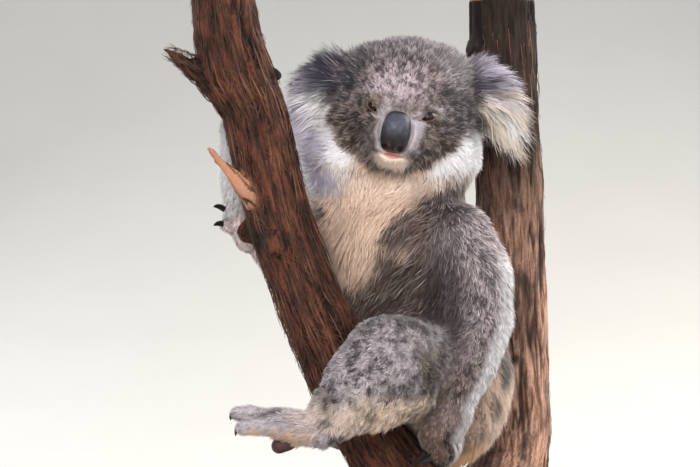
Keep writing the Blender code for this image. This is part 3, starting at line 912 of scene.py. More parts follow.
BASE_HUES = {"head": "brown_grey", "neck": "grey", "torso": "grey", "rump": "grey", "hand": "hand",
             "foot": "foot", "upper_arm": "arm", "forearm": "arm", "thigh": "leg", "shin": "leg",
             "ear": "ear_dark"}
# where the limb's own colour runs out over the end of it: node, hue, centre, radii, strength
LIMB_ENDS = (("foot_left", "leg", (-92, -118, 232), (34, 44, 40), 0.7),
             ("hand_left", "arm", (52, -94, 246), (36, 44, 26), 0.35))
# hue, centre and radii in the head's own directions, softness, strength
HEAD_MARKS = (
    ("crown", (0, 6, 56), (72, 66, 34), 0.5, 0.95), ("crown", (54, -8, 20), (26, 56, 40), 0.5, 0.9),
    ("crown", (-58, -6, 22), (20, 50, 30), 0.5, 0.85), ("pinkish", (-5, -50, 21), (29, 30, 21), 0.6, 0.9),
    ("pinkish", (-34, -54, 16), (12, 20, 8), 0.5, 0.5), ("dark", (46, -30, 20), (15, 26, 16), 0.6, 0.65),
    ("dark", (50, -28, -6), (12, 34, 24), 0.7, 0.5), ("brown_grey", (0, -50, -46), (54, 34, 18), 0.5, 0.6),
    ("dark", (-36, -46, -22), (20, 26, 20), 0.7, 0.3), ("muzzle", (-1, -82, -27), (21, 30, 25), 0.3, 0.85),
    ("pinkish", (18, -76, -34), (5, 24, 12), 0.5, 0.8), ("dark", (-1, -84, -5), (9, 22, 4.5), 0.5, 0.35),
    ("pinkish", (19, -66, -6), (9, 26, 8), 0.6, 0.9), ("pinkish", (-16, -68, -2), (6, 22, 8), 0.6, 0.4),
    ("muzzle", (-17, -68, -10), (7, 22, 15), 0.6, 0.55),
    ("muzzle", (19, -68, -18), (6.5, 22, 17), 0.6, 0.8),
    ("dark", (-20, -70, -46.5), (8, 20, 2.6), 0.5, 0.75),
    ("dark", (23, -70, -44.5), (8, 20, 2.6), 0.5, 0.75),
    ("chin", (-1, -78, -55.5), (24.5, 26, 10.5), 0.35, 0.98),
    ("brown_grey", (0, -62, -70), (34, 24, 6), 0.5, 0.8), ("olive", (-31, -58, 1), (15, 16, 9), 0.5, 0.75),
    ("olive", (31, -58, -1), (14, 16, 9), 0.5, 0.7), ("pinkish", (-32, -54, 11), (17, 14, 4.5), 0.7, 0.6),
    ("pinkish", (31, -54, 8), (14, 14, 3), 0.6, 0.5), ("ochre", (-2, -58, -77), (30, 22, 7), 0.7, 0.5),
    ("dark", (38, -48, -8), (9, 20, 9), 0.6, 0.4), ("dark", (-40, -44, -2), (8, 20, 9), 0.6, 0.4))
# hue, centre and radii in the whole model's directions, softness, strength, the nodes it belongs to
BODY_MARKS = (
    # the far shoulder's own dark fur, made darker with painted shade where it goes behind the limb
    ("dark", (-86, -30, 424), (13, 34, 30), 0.4, 0.85, "torso neck upper_arm_right"),
    # the belly's dark brown: partly its own fur, partly painted shade between the near arm and the thigh
    ("belly", (-2, -80, 350), (52, 50, 34), 0.45, 0.95, "torso rump thigh_left thigh_right"),
    ("dark", (-14, -84, 407), (11, 30, 9), 0.5, 0.85, "torso"),
    ("dark", (14, -84, 374), (18, 30, 7), 0.5, 0.8, "torso"),
    ("cream", (2, -84, 391), (12, 26, 8), 0.5, 0.75, "torso upper_arm_left"),
    ("dark", (46, -50, 440), (32, 34, 20), 0.6, 0.7, "torso neck upper_arm_left"),
    # the slit mark on the near arm's side that faces the belly is painted shade between arm and belly
    ("slit", (42, -80, 342), (24, 60, 70), 0.45, 0.85, "upper_arm_left forearm_left torso"),
    ("white", (30, -108, 300), (9, 40, 26), 0.5, 0.7, "thigh_left"),
    ("olive", (22, -110, 274), (27, 60, 34), 0.45, 0.85, "thigh_left"),
    ("cream", (40, 10, 250), (94, 74, 84), 0.4, 0.9, "rump"),
    ("cream", (78, -30, 235), (24, 60, 50), 0.5, 0.9, "thigh_left rump"),
    ("slit", (103, -20, 266), (5, 60, 14), 0.5, 0.95, "rump torso thigh_left"),
    ("slit", (95, -30, 238), (4.5, 60, 12), 0.5, 0.8, "rump thigh_left"),
    ("slit", (103, -16, 306), (3.5, 60, 8), 0.5, 0.6, "rump torso"),
    ("ochre", (46, 0, 180), (70, 80, 24), 0.4, 0.85, "rump thigh_left thigh_right"),
    ("fluff", (-8, -108, 235), (86, 60, 22), 0.4, 1.0, "thigh_left shin_left foot_left"),
    ("peach", (14, -100, 226), (34, 46, 16), 0.5, 0.7, "thigh_left shin_left"),
    ("dark", (-68, -136, 250), (10, 30, 12), 0.7, 0.4, "shin_left"),
    ("peach", (-120, -120, 214), (40, 40, 9), 0.5, 0.9, "foot_left"),
    ("white", (-150, -20, 460), (60, 60, 90), 0.3, 0.9, "forearm_right upper_arm_right"),
    ("blush", (-150, -30, 405), (60, 40, 60), 0.3, 1.0, "hand_right"),
    ("violet", (-90, -34, 492), (9, 50, 14), 0.7, 0.45, "neck torso upper_arm_right head"))
# the same for the ears, laid after their stripes. Those in the hue dark, and the slit, lie at each ear's
# base: painted shadow in the gap between ear and cheek, over the fur's own darker tone there
EAR_MARKS = (
    ("dark", (76, -6, 528), (12, 40, 26), 0.5, 0.95, "ear_left head"),
    ("dark", (88, -6, 508), (7, 40, 18), 0.5, 0.8, "ear_left"),
    ("ear_dark", (60, -2, 566), (22, 40, 15), 0.45, 0.95, "ear_left head"),
    ("ear_dark", (84, -2, 561), (26, 40, 12), 0.5, 0.95, "ear_left"),
    ("slit", (82, -8, 538), (8, 40, 9), 0.6, 0.7, "ear_left"),
    ("ear_dark", (-72, -4, 569), (28, 40, 21), 0.4, 0.95, "ear_right head"),
    ("ear_dark", (-48, -14, 563), (15, 40, 20), 0.7, 0.6, "ear_right head"),
    ("dark", (65, -10, 540), (15, 44, 34), 0.6, 0.95, "ear_left head"),
    ("dark", (-66, -6, 545), (15, 40, 11), 0.5, 0.8, "ear_right head"),
    ("dark", (-60, -6, 522), (5, 40, 14), 0.6, 0.6, "ear_right head"),
    # the lavender-grey mark below the ear is painted shade
    ("painted_shade_lavender", (-88, -20, 494), (20, 40, 24), 0.6, 0.6, "head neck ear_right"))
# the deepest furrows of the near leg's coat: across, height, and half their size in each
SLITS = ((11.5, 294, 3.2, 9), (-32, 315, 7, 2.8), (-21, 322, 6, 2.4), (-4, 318, 2.8, 6), (-50, 286, 3.2, 6),
         (-94, 243, 2.8, 7), (-72, 247, 3.2, 8), (-64, 251, 6, 3), (-66, 261, 6, 2.8), (4, 256, 3.4, 7),
         (-43, 303, 5, 2.4), (-11, 308, 7, 2.4), (-30, 281, 2.8, 6), (-52, 268, 4, 2.6))
# the height of the bib's edge and how far it reaches there
BIB_EDGE = ((340, -60), (347, -55), (356, -36), (371, -30), (386, -14), (400, -16), (415, -16), (428, 2),
            (436, 17), (448, 38), (462, 60), (479, 77), (500, 92))
# how strongly the hair of each part is flecked
SPECKLE = {"head": 1.0, "neck": 0.7, "torso": 0.5, "rump": 0.35, "ear": 0.35, "upper_arm": 1.0,
           "forearm": 1.0, "hand": 0.7, "thigh": 0.62, "shin": 0.66, "foot": 0.6}
# hues that lessen the flecks where they are laid
PLAIN_HUES = ("fluff", "muzzle", "fringe", "violet", "white", "cream", "peach", "ochre", "lavender", "chin",
              "painted_shade_lavender", "slit")


def tinted(colour, hue, amount):
    """Colours drawn towards one of the hues, by an amount of 0 to 1 at each."""
    return colour + (HUES[hue] - colour) * np.clip(amount, 0, 1)[:, None]


def markings(points, normals, regions):
    """The colour of the hair's outer half at each vertex, and how flecked it is."""
    local, weight = in_head(points), weights_of(regions)
    astray = wandering(points, 13, (1, 2, 3))
    loose = points + astray * 22
    colour = regions @ np.array([HUES[BASE_HUES[kind]] for kind in KINDS])
    speckle = regions @ np.array([SPECKLE[kind] for kind in KINDS])
    for part, hue, centre, radii, share in LIMB_ENDS:
        colour = tinted(colour, hue, patch(loose, centre, radii, 0.6) * weight[part] * share)
    colour = tinted(colour, "hand", weight["forearm_left"] * step(-points[:, 2], -330, -250) * 0.8)
    # painted shade in the furrows of the legs' woolly coat
    colour = tinted(colour, "slit", cracks_of(points, weight) * 0.6)
    # painted shade in the clefts between the digits
    colour = colour + (HUES["dark"] * 0.6 - colour) * clefts(points)[:, None]

    def lay(hue, amount):
        nonlocal colour, speckle
        colour = tinted(colour, hue, amount)
        if hue in PLAIN_HUES:
            speckle = speckle * (1 - (0.72 if hue == "white" else 0.92) * np.clip(amount, 0, 1))

    def lay_marks(marks, strayed):
        """Lays a table of marks. The slits stray less from their places than the others do."""
        for hue, centre, radii, soft, strength, owners in marks:
            places = points + astray * strayed if hue == "slit" else loose
            lay(hue, patch(places, centre, radii, soft) * strength * owned(weight, owners))

    front = step(-loose[:, 1], -40, 0)
    neck, chest = weight["neck"], owned(weight, "torso neck upper_arm_right")
    heights, reaches = np.array(BIB_EDGE, float).T
    inside = step(np.interp(loose[:, 2], heights, reaches) - loose[:, 0], -7, 7) * step(loose[:, 2], 336, 350)
    lay("cream", inside * front * chest)
    lay("cream_white", neck * inside * front * step(points[:, 2], 440, 462) * 0.8)
    lay("white", chest * front * step(-points[:, 0], 52, 66) * step(points[:, 2], 440, 458))
    # painted shade: the neck's white drawn towards lavender grey beside the limb
    lay("painted_shade_lavender", patch(loose, (-82, -30, 482), (22, 70, 34), 0.6) * owned(weight, "neck torso") * 0.9)
    lay_marks(BODY_MARKS, 5)
    head = local + astray * 9
    edge = np.linalg.norm((head[:, [0, 2]] - (-5, -2)) / (70, 65), axis=1)
    jowl = step(edge, 0.96, 1.07) * step(-head[:, 2], -6, 14) * step(-points[:, 1], -50, -10) * weight["head"]
    for hue, centre, radii, soft, strength in HEAD_MARKS:
        lay(hue, patch(head, centre, radii, soft) * strength * weight["head"])
    for side in EYES:
        ring, across, up = eye_ring(local, side)
        lid = (1 - step(ring, 1.5, 2.3)) * (0.25 + 0.3 * step(up, -2, 2)) * step(across, -5, 0)
        lay("lid", lid * weight["head"])
        lay("muzzle", (1 - step(ring, 1.7, 3.2)) * step(-across, 3, 6) * 0.6 * weight["head"])
    lay("cream", jowl)
    lay("white", jowl * step(np.abs(head[:, 0]), 25, 50))
    # painted rim light: the near arm drawn paler, pinkish and then white, on its side that faces the image's
    # right, and the hand less so
    low_down = step(-points[:, 2], -330, -280)
    outer = step(normals[:, 0] - 0.04 * low_down, 0.34, 0.74)
    upper_arm = 0.85 * weight["upper_arm_left"] * step(-points[:, 2], -400, -370)
    lay("pinkish", step(normals[:, 0], 0.25, 0.6) * weight["upper_arm_left"] * 0.45)
    lay("white", outer * weight["hand_left"] * 0.6)
    lay("white", outer * (weight["forearm_left"] + upper_arm))
    lay("white", step(-normals[:, 0], 0.3, 0.8) * weight["forearm_right"] * 0.8)
    for side, (base_across, base_up), sign in (("left", (60, 552), 1), ("right", (-46, 560), -1)):
        own = weight["ear_" + side]
        across, up = (points[:, 0] - base_across) * sign, points[:, 2] - base_up
        round_it, out = np.arctan2(up, across) * 60, np.hypot(across, up) * 0.12
        streak = noise(np.stack([round_it, out, points[:, 1] * 0.3], axis=1), 7, 31, 2)
        facing = 0.35 + 0.65 * step(-normals[:, 1], -0.3, 0.3)
        if side == "left":
            lay("lavender", own * step(across + (streak - 0.5) * 40, 14, 34) * 0.95)
            lay("fringe", own * step(-up + (streak - 0.5) * 40, -8, 16) * facing)
            lay("white", own * step(-up, 6, 30) * step(streak, 0.45, 0.6))
            lay("dark", own * step(streak, 0.55, 0.64) * step(-across, -62, -32) * 0.9)
        else:
            low = step(-up + (streak - 0.5) * 24 + (across - 36) * 0.8, -8, 10)
            lay("white", own * low * facing)
            lay("dark", own * step(streak, 0.58, 0.72) * step(-across, -50, -24) * 0.4)
            lay("lavender", own * step(across + (streak - 0.5) * 20, 44, 56) * 0.95)
    lay_marks(EAR_MARKS, 8)
    lay("white", patch(loose, (-72, 8, 602), (20, 30, 8), 0.5) * weight["ear_right"] * 0.5)
    return colour, speckle


def bare_skin(points, colour):
    """Lids, lips, the big toe's pad and the soles have no hair: their colour, and where they are."""
    local = in_head(points)
    bare = np.zeros(len(points))

    def lay(hue, amount, hairless=1.0):
        nonlocal colour, bare
        colour = tinted(colour, hue, amount)
        bare = np.maximum(bare, np.clip(amount, 0, 1) * hairless)

    for side in EYES:
        ring, across, up = eye_ring(local, side)
        lay("lid", 1 - step(ring, 1.2, 1.5))
        lay("pink", np.exp(-((across + 6.4) / 1.5) ** 2 - ((up + 0.9) / 1.3) ** 2) * 0.8, 0.6)
        lay("maroon", np.exp(-((ring - 1.3) / 0.3) ** 2) * (0.35 + 0.55 * step(-up, 0.2, 1.6)))
    lay("lip", patch(local, (0, -84, -48.4), (11, 14, 3.1), 0.35))
    lay("pad", np.exp(-((local[:, 2] + 47.8) / 1.2) ** 2) * (1 - step(np.abs(local[:, 0]), 24, 29))
        * step(-local[:, 1], 40, 50) * 0.5, 0.5)
    toe = np.array(DIGITS["leg_left"][0][-1][:3], float)
    lay("pad", patch(points, toe + (2, 0, -1), (13, 14, 11), 0.2))
    lay("pad", patch(points, (-90, -126, 203), (24, 20, 4.5), 0.4) * 0.9)
    for limb in ("arm_left", "arm_right"):
        for digit in DIGITS[limb]:
            lay("pad", patch(points, digit[-1][:3], (7, 7, 7), 0.3) * 0.5, 0.4)
    return colour, bare


# ---------------------------------------------------------------- tufts

LEGS = "thigh_left shin_left thigh_right shin_right"
LOCK_BEND = 0.46
# how much of a tuft's shading comes from its own faces, and how much from the skin that it lies on
OWN_FACING, SKIN_FACING = 0.22, 0.78
# how strongly the tufts gather, on the legs and elsewhere
WOOL_OF_LEGS, WOOL = 0.42, 0.26
# a tuft's corners across its root, and its length, on the map of the skin
MAP_CORNERS, MAP_LENGTH = (-0.0012, 0.0012, 0.0), 0.003
COAT_GROUPS = {"head": ("head",), "neck": ("neck",), "torso": ("torso",), "rump": ("rump",), "ears": ("ear",),
               "arms": ("upper_arm", "forearm", "hand"), "legs": ("thigh", "shin", "foot")}
# where the hair is longer: centre, radii, softness, the nodes it belongs to, how much longer and deeper
LONGER_HAIR = (((108, 4, 512), (32, 40, 40), 0.5, "ear_left", 9, 0),
               ((-94, 4, 520), (32, 40, 40), 0.5, "ear_right", 9, 0),
               ((-46, 8, 584), (22, 34, 20), 0.6, "", 8, 5), ((60, 10, 582), (22, 34, 20), 0.6, "", 8, 5),
               ((-20, -76, 420), (70, 60, 60), 0.5, "torso neck", 3, 0),
               ((-92, -118, 232), (30, 40, 34), 0.5, "foot_left foot_right", 2, 1.6),
               ((52, -94, 242), (34, 40, 26), 0.5, "hand_left hand_right", 1.4, 0.8),
               ((-10, -112, 236), (80, 50, 16), 0.5, "thigh_left shin_left", 6, 0))


def surface_arrays(skin):
    """The skin's triangles, and the map places of their corners."""
    mesh = skin.data
    mesh.calc_loop_triangles()
    triangles = read(mesh.loop_triangles, "vertices", 3, np.int64)
    corners = read(mesh.loop_triangles, "loops", 3, np.int64)
    return triangles, read(mesh.uv_layers["OFBake"].data, "uv", 2)[corners]


def scatter(points, triangles, density):
    """Evenly strewn places: the triangle of each, and its weights on the triangle's corners."""
    a, b, c = (points[triangles[:, i]] for i in range(3))
    square_centimetres = np.linalg.norm(np.cross(b - a, c - a), axis=1) / 200
    share = np.cumsum(square_centimetres * density[triangles].mean(axis=1))
    count = int(share[-1])
    at = (np.arange(count) + rng.random(count)) * share[-1] / count
    chosen = np.searchsorted(share, at)
    u, v = rng.random(count), rng.random(count)
    flip = u + v > 1
    u[flip], v[flip] = 1 - u[flip], 1 - v[flip]
    return chosen, np.stack([1 - u - v, u, v], axis=1)


def clumped(roots, tips, every, pull, lengths):
    """Tips drawn towards the tip of the nearest of a few leading tufts."""
    leaders = rng.permutation(len(roots))[:max(1, len(roots) // every)]
    tree = KDTree(len(leaders))
    for i, leader in enumerate(leaders):
        tree.insert(tips[leader] * 0.5 + roots[leader] * 0.5, i)
    tree.balance()
    nearest = np.array([tree.find(middle)[1] for middle in (roots + tips) / 2])
    goal = tips[leaders[nearest]]
    far = np.linalg.norm(goal - tips, axis=1)
    amount = np.asarray(pull) * (1 - step(far, lengths * 0.9, lengths * 1.8))
    return tips + (goal - tips) * amount[:, None]


def hairs(roots, normals, ways, tips, _, widths):
    """Closed, straight hairs with three sides, a flat one below: their corners, their faces, and how far
    along the hair each corner lies."""
    side = unit(np.cross(ways, normals)) * (widths * 0.5)[:, None]
    start = roots - normals * 0.6
    points = np.stack([start - side, start + side, start + normals * (widths * 0.45)[:, None], tips], axis=1)
    pattern = np.array(((1, 2, 0), (3, 1, 0), (3, 2, 1), (3, 0, 2)))
    triangles = (np.arange(len(roots))[:, None, None] * 4 + pattern).reshape(-1, 3)
    return points.reshape(-1, 3), triangles, np.array((0, 0, 0, 1.0))


def locks(roots, normals, ways, tips, lengths, widths):
    """Closed, bent locks with three sides, which taper to a point: the same three results."""
    side = unit(np.cross(ways, normals))
    start = roots - normals * 0.9
    middle = roots + (tips - roots) * LOCK_BEND + normals * (lengths * 0.07)[:, None]
    ridge = unit(np.cross(side, unit(tips - roots)))
    ridge *= np.sign((ridge * normals).sum(axis=1, keepdims=True) + 1e-9)
    half, back = side * (widths * 0.5)[:, None], ridge * (widths * 0.42)[:, None]
    rows = [start - half, start + half, start + back,
            middle - half * 0.86, middle + half * 0.86, middle + back * 0.8, tips]
    pattern = np.array(((4, 1, 0), (3, 4, 0), (5, 2, 1), (4, 5, 1), (3, 0, 2), (5, 3, 2),
                        (6, 4, 3), (6, 5, 4), (6, 3, 5), (1, 2, 0)))
    triangles = (np.arange(len(roots))[:, None, None] * 7 + pattern).reshape(-1, 3)
    share = np.array((0, 0, 0, LOCK_BEND, LOCK_BEND, LOCK_BEND, 1.0))
    return np.stack(rows, axis=1).reshape(-1, 3), triangles, share


def tuft_sizes(points, regions, bare):
    """The coat's depth and the tufts' length, width and number, at each vertex."""
    local, weight = in_head(points), weights_of(regions)
    depth, length, width, density = (region_value(regions, column) for column in range(4))
    muzzle = widest(local, MUZZLE_HAIR, 0.4) * weight["head"]
    forehead = patch(local, (0, -40, 34), (46, 40, 34), 0.5) * (1 - muzzle)
    cheeks = patch(local, (0, -6, -34), (90, 46, 40), 0.4) * (1 - muzzle) * weight["head"]
    length = length * (1 - 0.6 * muzzle - 0.32 * forehead) + 3 * cheeks
    depth = depth * (1 - 0.72 * muzzle)
    width = width * (1 - 0.45 * muzzle) * (1 - 0.1 * forehead)
    density = density * (1 + 1.4 * muzzle + 0.35 * forehead) * (bare < 0.35)
    for centre, radii, soft, owners, longer, deeper in LONGER_HAIR:
        amount = patch(points, centre, radii, soft) * (owned(weight, owners) if owners else 1.0)
        length, depth = length + longer * amount, depth + deeper * amount
    opened = slits_of(points, 4.5, 0.8) * owned(weight, "thigh_left shin_left")
    cracks = cracks_of(points, weight)
    length = length * (1 - 0.4 * opened) * (1 - 0.3 * cracks)
    depth = depth * (1 - 0.25 * opened) * (1 - 0.45 * cracks)
    crown = patch(local, (0, 6, 56), (72, 66, 40), 0.6) * weight["head"]
    length, depth = length + 2.5 * crown, depth + 1.6 * crown
    hidden = np.min([along_chain(points, chain)[0] for chain in (SLANTING, UPRIGHT)], axis=0) < 0.98
    return depth, length, width, density * ~hidden


def slits_of(points, wider, soft):
    """1 in the deepest furrows, made wider by so many millimetres."""
    return np.max([patch(points, (x, -110, z), (wide + wider, 70, tall + wider), soft)
                   for x, z, wide, tall in SLITS], axis=0)


def cracks_of(points, weight):
    """Irregular furrows in the woolly coat of the legs, 1 at their bottom."""
    bent = points + wandering(points, 15, (51, 52, 53)) * 16
    ridge = 1 - np.abs(2 * noise(bent, (12, 12, 10), 54, 1) - 1)
    narrow = step(ridge, 0.8, 0.92) * step(noise(points, 20, 55, 1), 0.22, 0.42)
    return np.maximum(narrow, slits_of(points, 0, 0.5)) * np.clip(owned(weight, LEGS), 0, 1)


def flecked_colour(places, colour, flecked, darker, paler):
    """Each hair's colour at a place: the coat's dark and pale flecks, and any that the hair itself has."""
    field = 0.58 * noise(places, 2.1, 8, 2) + 0.42 * noise(places, 5.5, 12, 2)
    dark = np.clip(step(field, 0.5, 0.55) * flecked + darker, 0, 1)[:, None]
    pale = (np.clip(step(-field, -0.46, -0.38) * flecked * 0.7 + paler, 0, 1) * (1 - dark[:, 0]))[:, None]
    colour = colour * (1 - 0.87 * dark) + HUES["fleck"] * 0.12 * dark
    return colour + (HUES["pale_fleck"] * 1.1 - colour) * 0.42 * pale


# a layer's name and shape, its share of the tufts, faces each, size, and how it clumps, finely and then
# widely: the tufts to each leader, the pull, and how far it reaches in lengths of a tuft
LAYERS = (("hair", hairs, 1.2, 4, 0.88, ((12, 0.85, 1.0), (36, 1.0, 1.3))),
          ("lock", locks, 0.235, 10, 1.12, ((7, 0.85, 1.0), (16, 1.0, 1.3))))


def grow_coat(skin, colour, speckle, regions, sizes, flow):
    """Strews the tufts over the skin, bends and colours them, and makes a piece for each part of the body."""
    points, normals = points_of(skin), normals_of(skin)
    triangles, uv = surface_arrays(skin)
    depth, length, width, density = sizes
    weight = weights_of(regions)
    stray = region_value(regions, 4)
    woolly = regions @ np.array([WOOL_OF_LEGS if kind in ("thigh", "shin") else WOOL for kind in KINDS])
    for layer, shape, amount, faces_each, scale, clumps in LAYERS:
        chosen, corner = scatter(points, triangles, density * amount)
        vertex = triangles[chosen]

        def take(values):
            return (values[vertex] * (corner if values.ndim == 1 else corner[..., None])).sum(axis=1)

        roots, n, t = take(points), unit(take(normals)), take(flow)
        t = unit(t - n * (t * n).sum(axis=1, keepdims=True))
        count = len(roots)
        turn = rng.normal(0, 1, count) * take(stray)
        t = unit(t * np.cos(turn)[:, None] + np.cross(n, t) * np.sin(turn)[:, None])
        lengths = take(length) * np.clip(rng.normal(1, 0.18, count), 0.55, 1.5) * scale
        widths = take(width) * (0.7 + 0.6 * rng.random(count)) * scale * (0.82 + 0.18 * take(speckle))
        if layer == "hair":
            stragglers = rng.random(count) < 0.05
            lengths[stragglers] *= 1.45
            widths[stragglers] *= 0.7
        high = take(depth) * (0.62 + 0.6 * rng.random(count)) * scale + 0.4
        lifts = np.arcsin(np.clip(high / lengths, 0.05, 0.8))
        tips = roots + t * (lengths * np.cos(lifts))[:, None] + n * (lengths * np.sin(lifts))[:, None]
        tips[:, 2] -= lengths * 0.08
        for every, pull, reach in clumps:
            tips = clumped(roots, tips, every, take(woolly) * pull, lengths * reach)
        tone, flecked = take(colour), take(speckle)
        shade = np.clip(1 + rng.normal(0, 1, count) * (0.035 + 0.1 * flecked), 0.65, 1.4)
        shade *= 1 + (noise(roots, 10, 9, 2) - 0.5) * (0.12 + 0.16 * flecked)
        chance = rng.random(count)
        darker, paler = (chance < flecked * 0.16) * 0.85, (chance > 1 - flecked * 0.11) * 1.0
        outer, legs = tone * shade[:, None], {name: take(weight[name]) for name in LEGS.split()}

        def tuft_colour(places, gain):
            flecks = flecked_colour(places, outer, flecked, darker, paler)
            # the legs' furrows darkened with painted shade
            return flecks * (1 - 0.93 * cracks_of(places, legs))[:, None] * gain[:, None]

        # painted shade: each tuft darker towards its root, as between the tufts, and lighter at its tip
        rootward = tuft_colour(roots + (tips - roots) * 0.35, 0.94 - 0.49 * flecked)
        outward = tuft_colour(tips, 1.05 + 0.25 * flecked)
        facing = n * (3 - 2 * flecked)[:, None]
        place = (uv[chosen] * corner[..., None]).sum(axis=1)
        owner = np.argmax(np.stack([take(column) for column in regions.T], axis=1), axis=1)
        for group, kinds in COAT_GROUPS.items():
            members = [i for i, kind in enumerate(KINDS) if kind in kinds]
            mine = np.flatnonzero(np.isin(owner, members))
            pieces = -(-len(mine) * faces_each // MOST_FACES)
            for part, some in enumerate(np.array_split(mine, max(pieces, 1))):
                corners, faces, share = shape(roots[some], n[some], t[some], tips[some], lengths[some],
                                              widths[some])
                along = share[:, None]
                shades = rootward[some, None] * (1 - along) + outward[some, None] * along
                across = np.resize(MAP_CORNERS, len(share)) * (share < 1)
                spots = place[some, None] + np.stack([across, (share - 0.5) * MAP_LENGTH], axis=1)
                name = f"coat_{group}_{layer}" + (f"_{part + 1}" if pieces > 1 else "")
                piece = mesh_piece(name, corners, faces, shades.reshape(-1, 3),
                                   np.clip(spots.reshape(-1, 2), 0, 1),
                                   np.repeat(facing[some], len(share), axis=0))
                dress(piece, "coat", "fur")


# ---------------------------------------------------------------- eyes, nose and claws

# how far the cornea stands out of the ball, and a nostril's place beside and below the nose's middle
CORNEA, NOSTRIL = 0.7, (7.8, -15.2)


def eye(side):
    centre, way, *_ = EYES[side]
    out = unit(np.array(way, float))
    piece, ball = sphere("eyeball_" + side, 64, 40, EYE_RADIUS)
    turned = np.array(Vector((0, 0, 1)).rotation_difference(Vector(out)).to_matrix())
    ball = ball @ turned.T
    across = unit(np.cross((0, 0, 1.0), out))
    up = np.cross(out, across)
    facing = ball @ out / EYE_RADIUS
    gaze = np.stack([ball @ across, ball @ up, ball @ out], axis=1)
    ball = ball + out * (CORNEA * step(facing, 0.72, 1.0))[:, None]
    move_points(piece, from_head(ball + np.array(centre, float)))
    set_numbers(piece, gaze=gaze)
    return dress(piece, "eye", "eye_gloss", "eye_" + side)


def nose():
    """A ball made into a tall, square-cornered pad that leans, with nostrils and a seam under them."""
    piece, ball = sphere("nose_pad", 120, 80)
    x, y, z = ball.T
    width = 1.0 - 0.06 * step(-z, 0.3, 0.95)
    disc, power = np.hypot(x, z), np.where(z > 0, 2.75, 2.9)
    puff = disc / np.maximum((np.abs(x) ** power + np.abs(z) ** power) ** (1 / power), 1e-6)
    puff = 1 + (puff - 1) * step(disc, 0.15, 0.75)
    x, y, z = x * puff * width, y * (1 + 0.28 * (1 - y ** 2) * disc), z * puff
    lean = 0.10 * np.exp(-((z + 0.2) / 0.5) ** 2) - 0.22 * step(z, 0.2, 1.0) - 0.12 * step(-z, 0.55, 1.0)
    front = step(-y, 0.0, 0.5)
    y = y - lean * front
    shape = np.stack([x * 14.0, y * 12.6, z * 20.6], axis=1)
    inner = np.zeros(len(shape))
    for sign in (-1, 1):
        # a nostril: a round pit low at each side, with a slit that runs up and out of it
        u, v = shape[:, 0] - NOSTRIL[0] * sign, shape[:, 2] - NOSTRIL[1]
        pit = np.exp(-((u / 3.1) ** 2 + (v / 2.3) ** 2) ** 1.4)
        leaning = (u - 4.2 * sign) * 0.8 + (v - 2.2) * 0.25 * sign
        slit = np.exp(-(leaning / 2.6) ** 2 - ((v - 2.4) / 1.25) ** 2)
        rim = np.exp(-((np.hypot(u / 3.1, v / 2.3) - 1.55) / 0.3) ** 2)
        shape[:, 1] += front * (6.0 * pit + 2.4 * slit - 0.7 * rim)
        inner = np.maximum(inner, rim * step(noise(shape, 3.4, 8, 1), 0.3, 0.7))
    seam = np.exp(-(shape[:, 0] / 1.0) ** 2) * step(-shape[:, 2], 6, 12)
    shape[:, 1] += 1.1 * seam * front
    shape[:, 1] += (noise(shape, 3.2, 3, 3) - 0.5) * 0.5 * front
    worn = np.maximum(step(-shape[:, 2], 17.2, 19.5), inner * step(-shape[:, 2], 11, 14))
    move_points(piece, from_head(shape + NOSE_CENTRE))
    # edge drives painted shade that darkens the leather towards its rim
    set_numbers(piece, edge=step(disc, 0.8, 0.97), worn=worn * front * 0.7,
                low=step(-shape[:, 2] + (noise(shape, 6, 4, 2) - 0.5) * 7, -5, 7))
    return dress(piece, "nose", "nose_leather", "nose")


def claws():
    """Curved horns, taller than wide, out of every digit but the big toes."""
    rows, sides = 12, 12
    share = np.linspace(0, 1, rows)
    turn = np.linspace(0, 2 * math.pi, sides, endpoint=False)
    last, root, point = (rows - 1) * sides, rows * sides, rows * sides + 1
    faces = tube_faces(rows, sides)
    for i in range(sides):
        after = (i + 1) % sides
        faces += [(root, after, i), (point, last + i, last + after)]
    for limb, digits in DIGITS.items():
        kind, side = limb.split("_")
        length, thick, hook = CLAWS[limb]
        hook = np.array(hook, float)
        for number, digit in enumerate(digits if kind == "arm" else digits[1:], 1):
            end = np.array(digit[-1][:3], float)
            along = unit(end - np.array(digit[-2][:3], float))
            reach = digit[-1][3] - 5 + share * (length + 5)
            path = end + along * reach[:, None] + hook * (share ** 2)[:, None]
            way = unit(np.gradient(path, axis=0))
            wide = unit(np.cross(way, hook))
            tall = np.cross(wide, way)
            radius = thick * (1 - share ** 1.6) ** 0.85 + 0.15
            ring = wide[:, None] * np.cos(turn)[:, None] * 0.72 + tall[:, None] * np.sin(turn)[:, None]
            wall = (path[:, None] + ring * radius[:, None, None]).reshape(-1, 3)
            tail = f"{'hand' if kind == 'arm' else 'foot'}_{side}_{number}"
            horn = mesh_piece("horn_" + tail, np.concatenate([wall, path[:1], path[-1:]]), np.array(faces))
            edit_all(horn, (bpy.ops.mesh.normals_make_consistent, {"inside": False}))
            dress(horn, "claw", "claw_horn", "claw_" + tail)


# ---------------------------------------------------------------- the limb and the stand

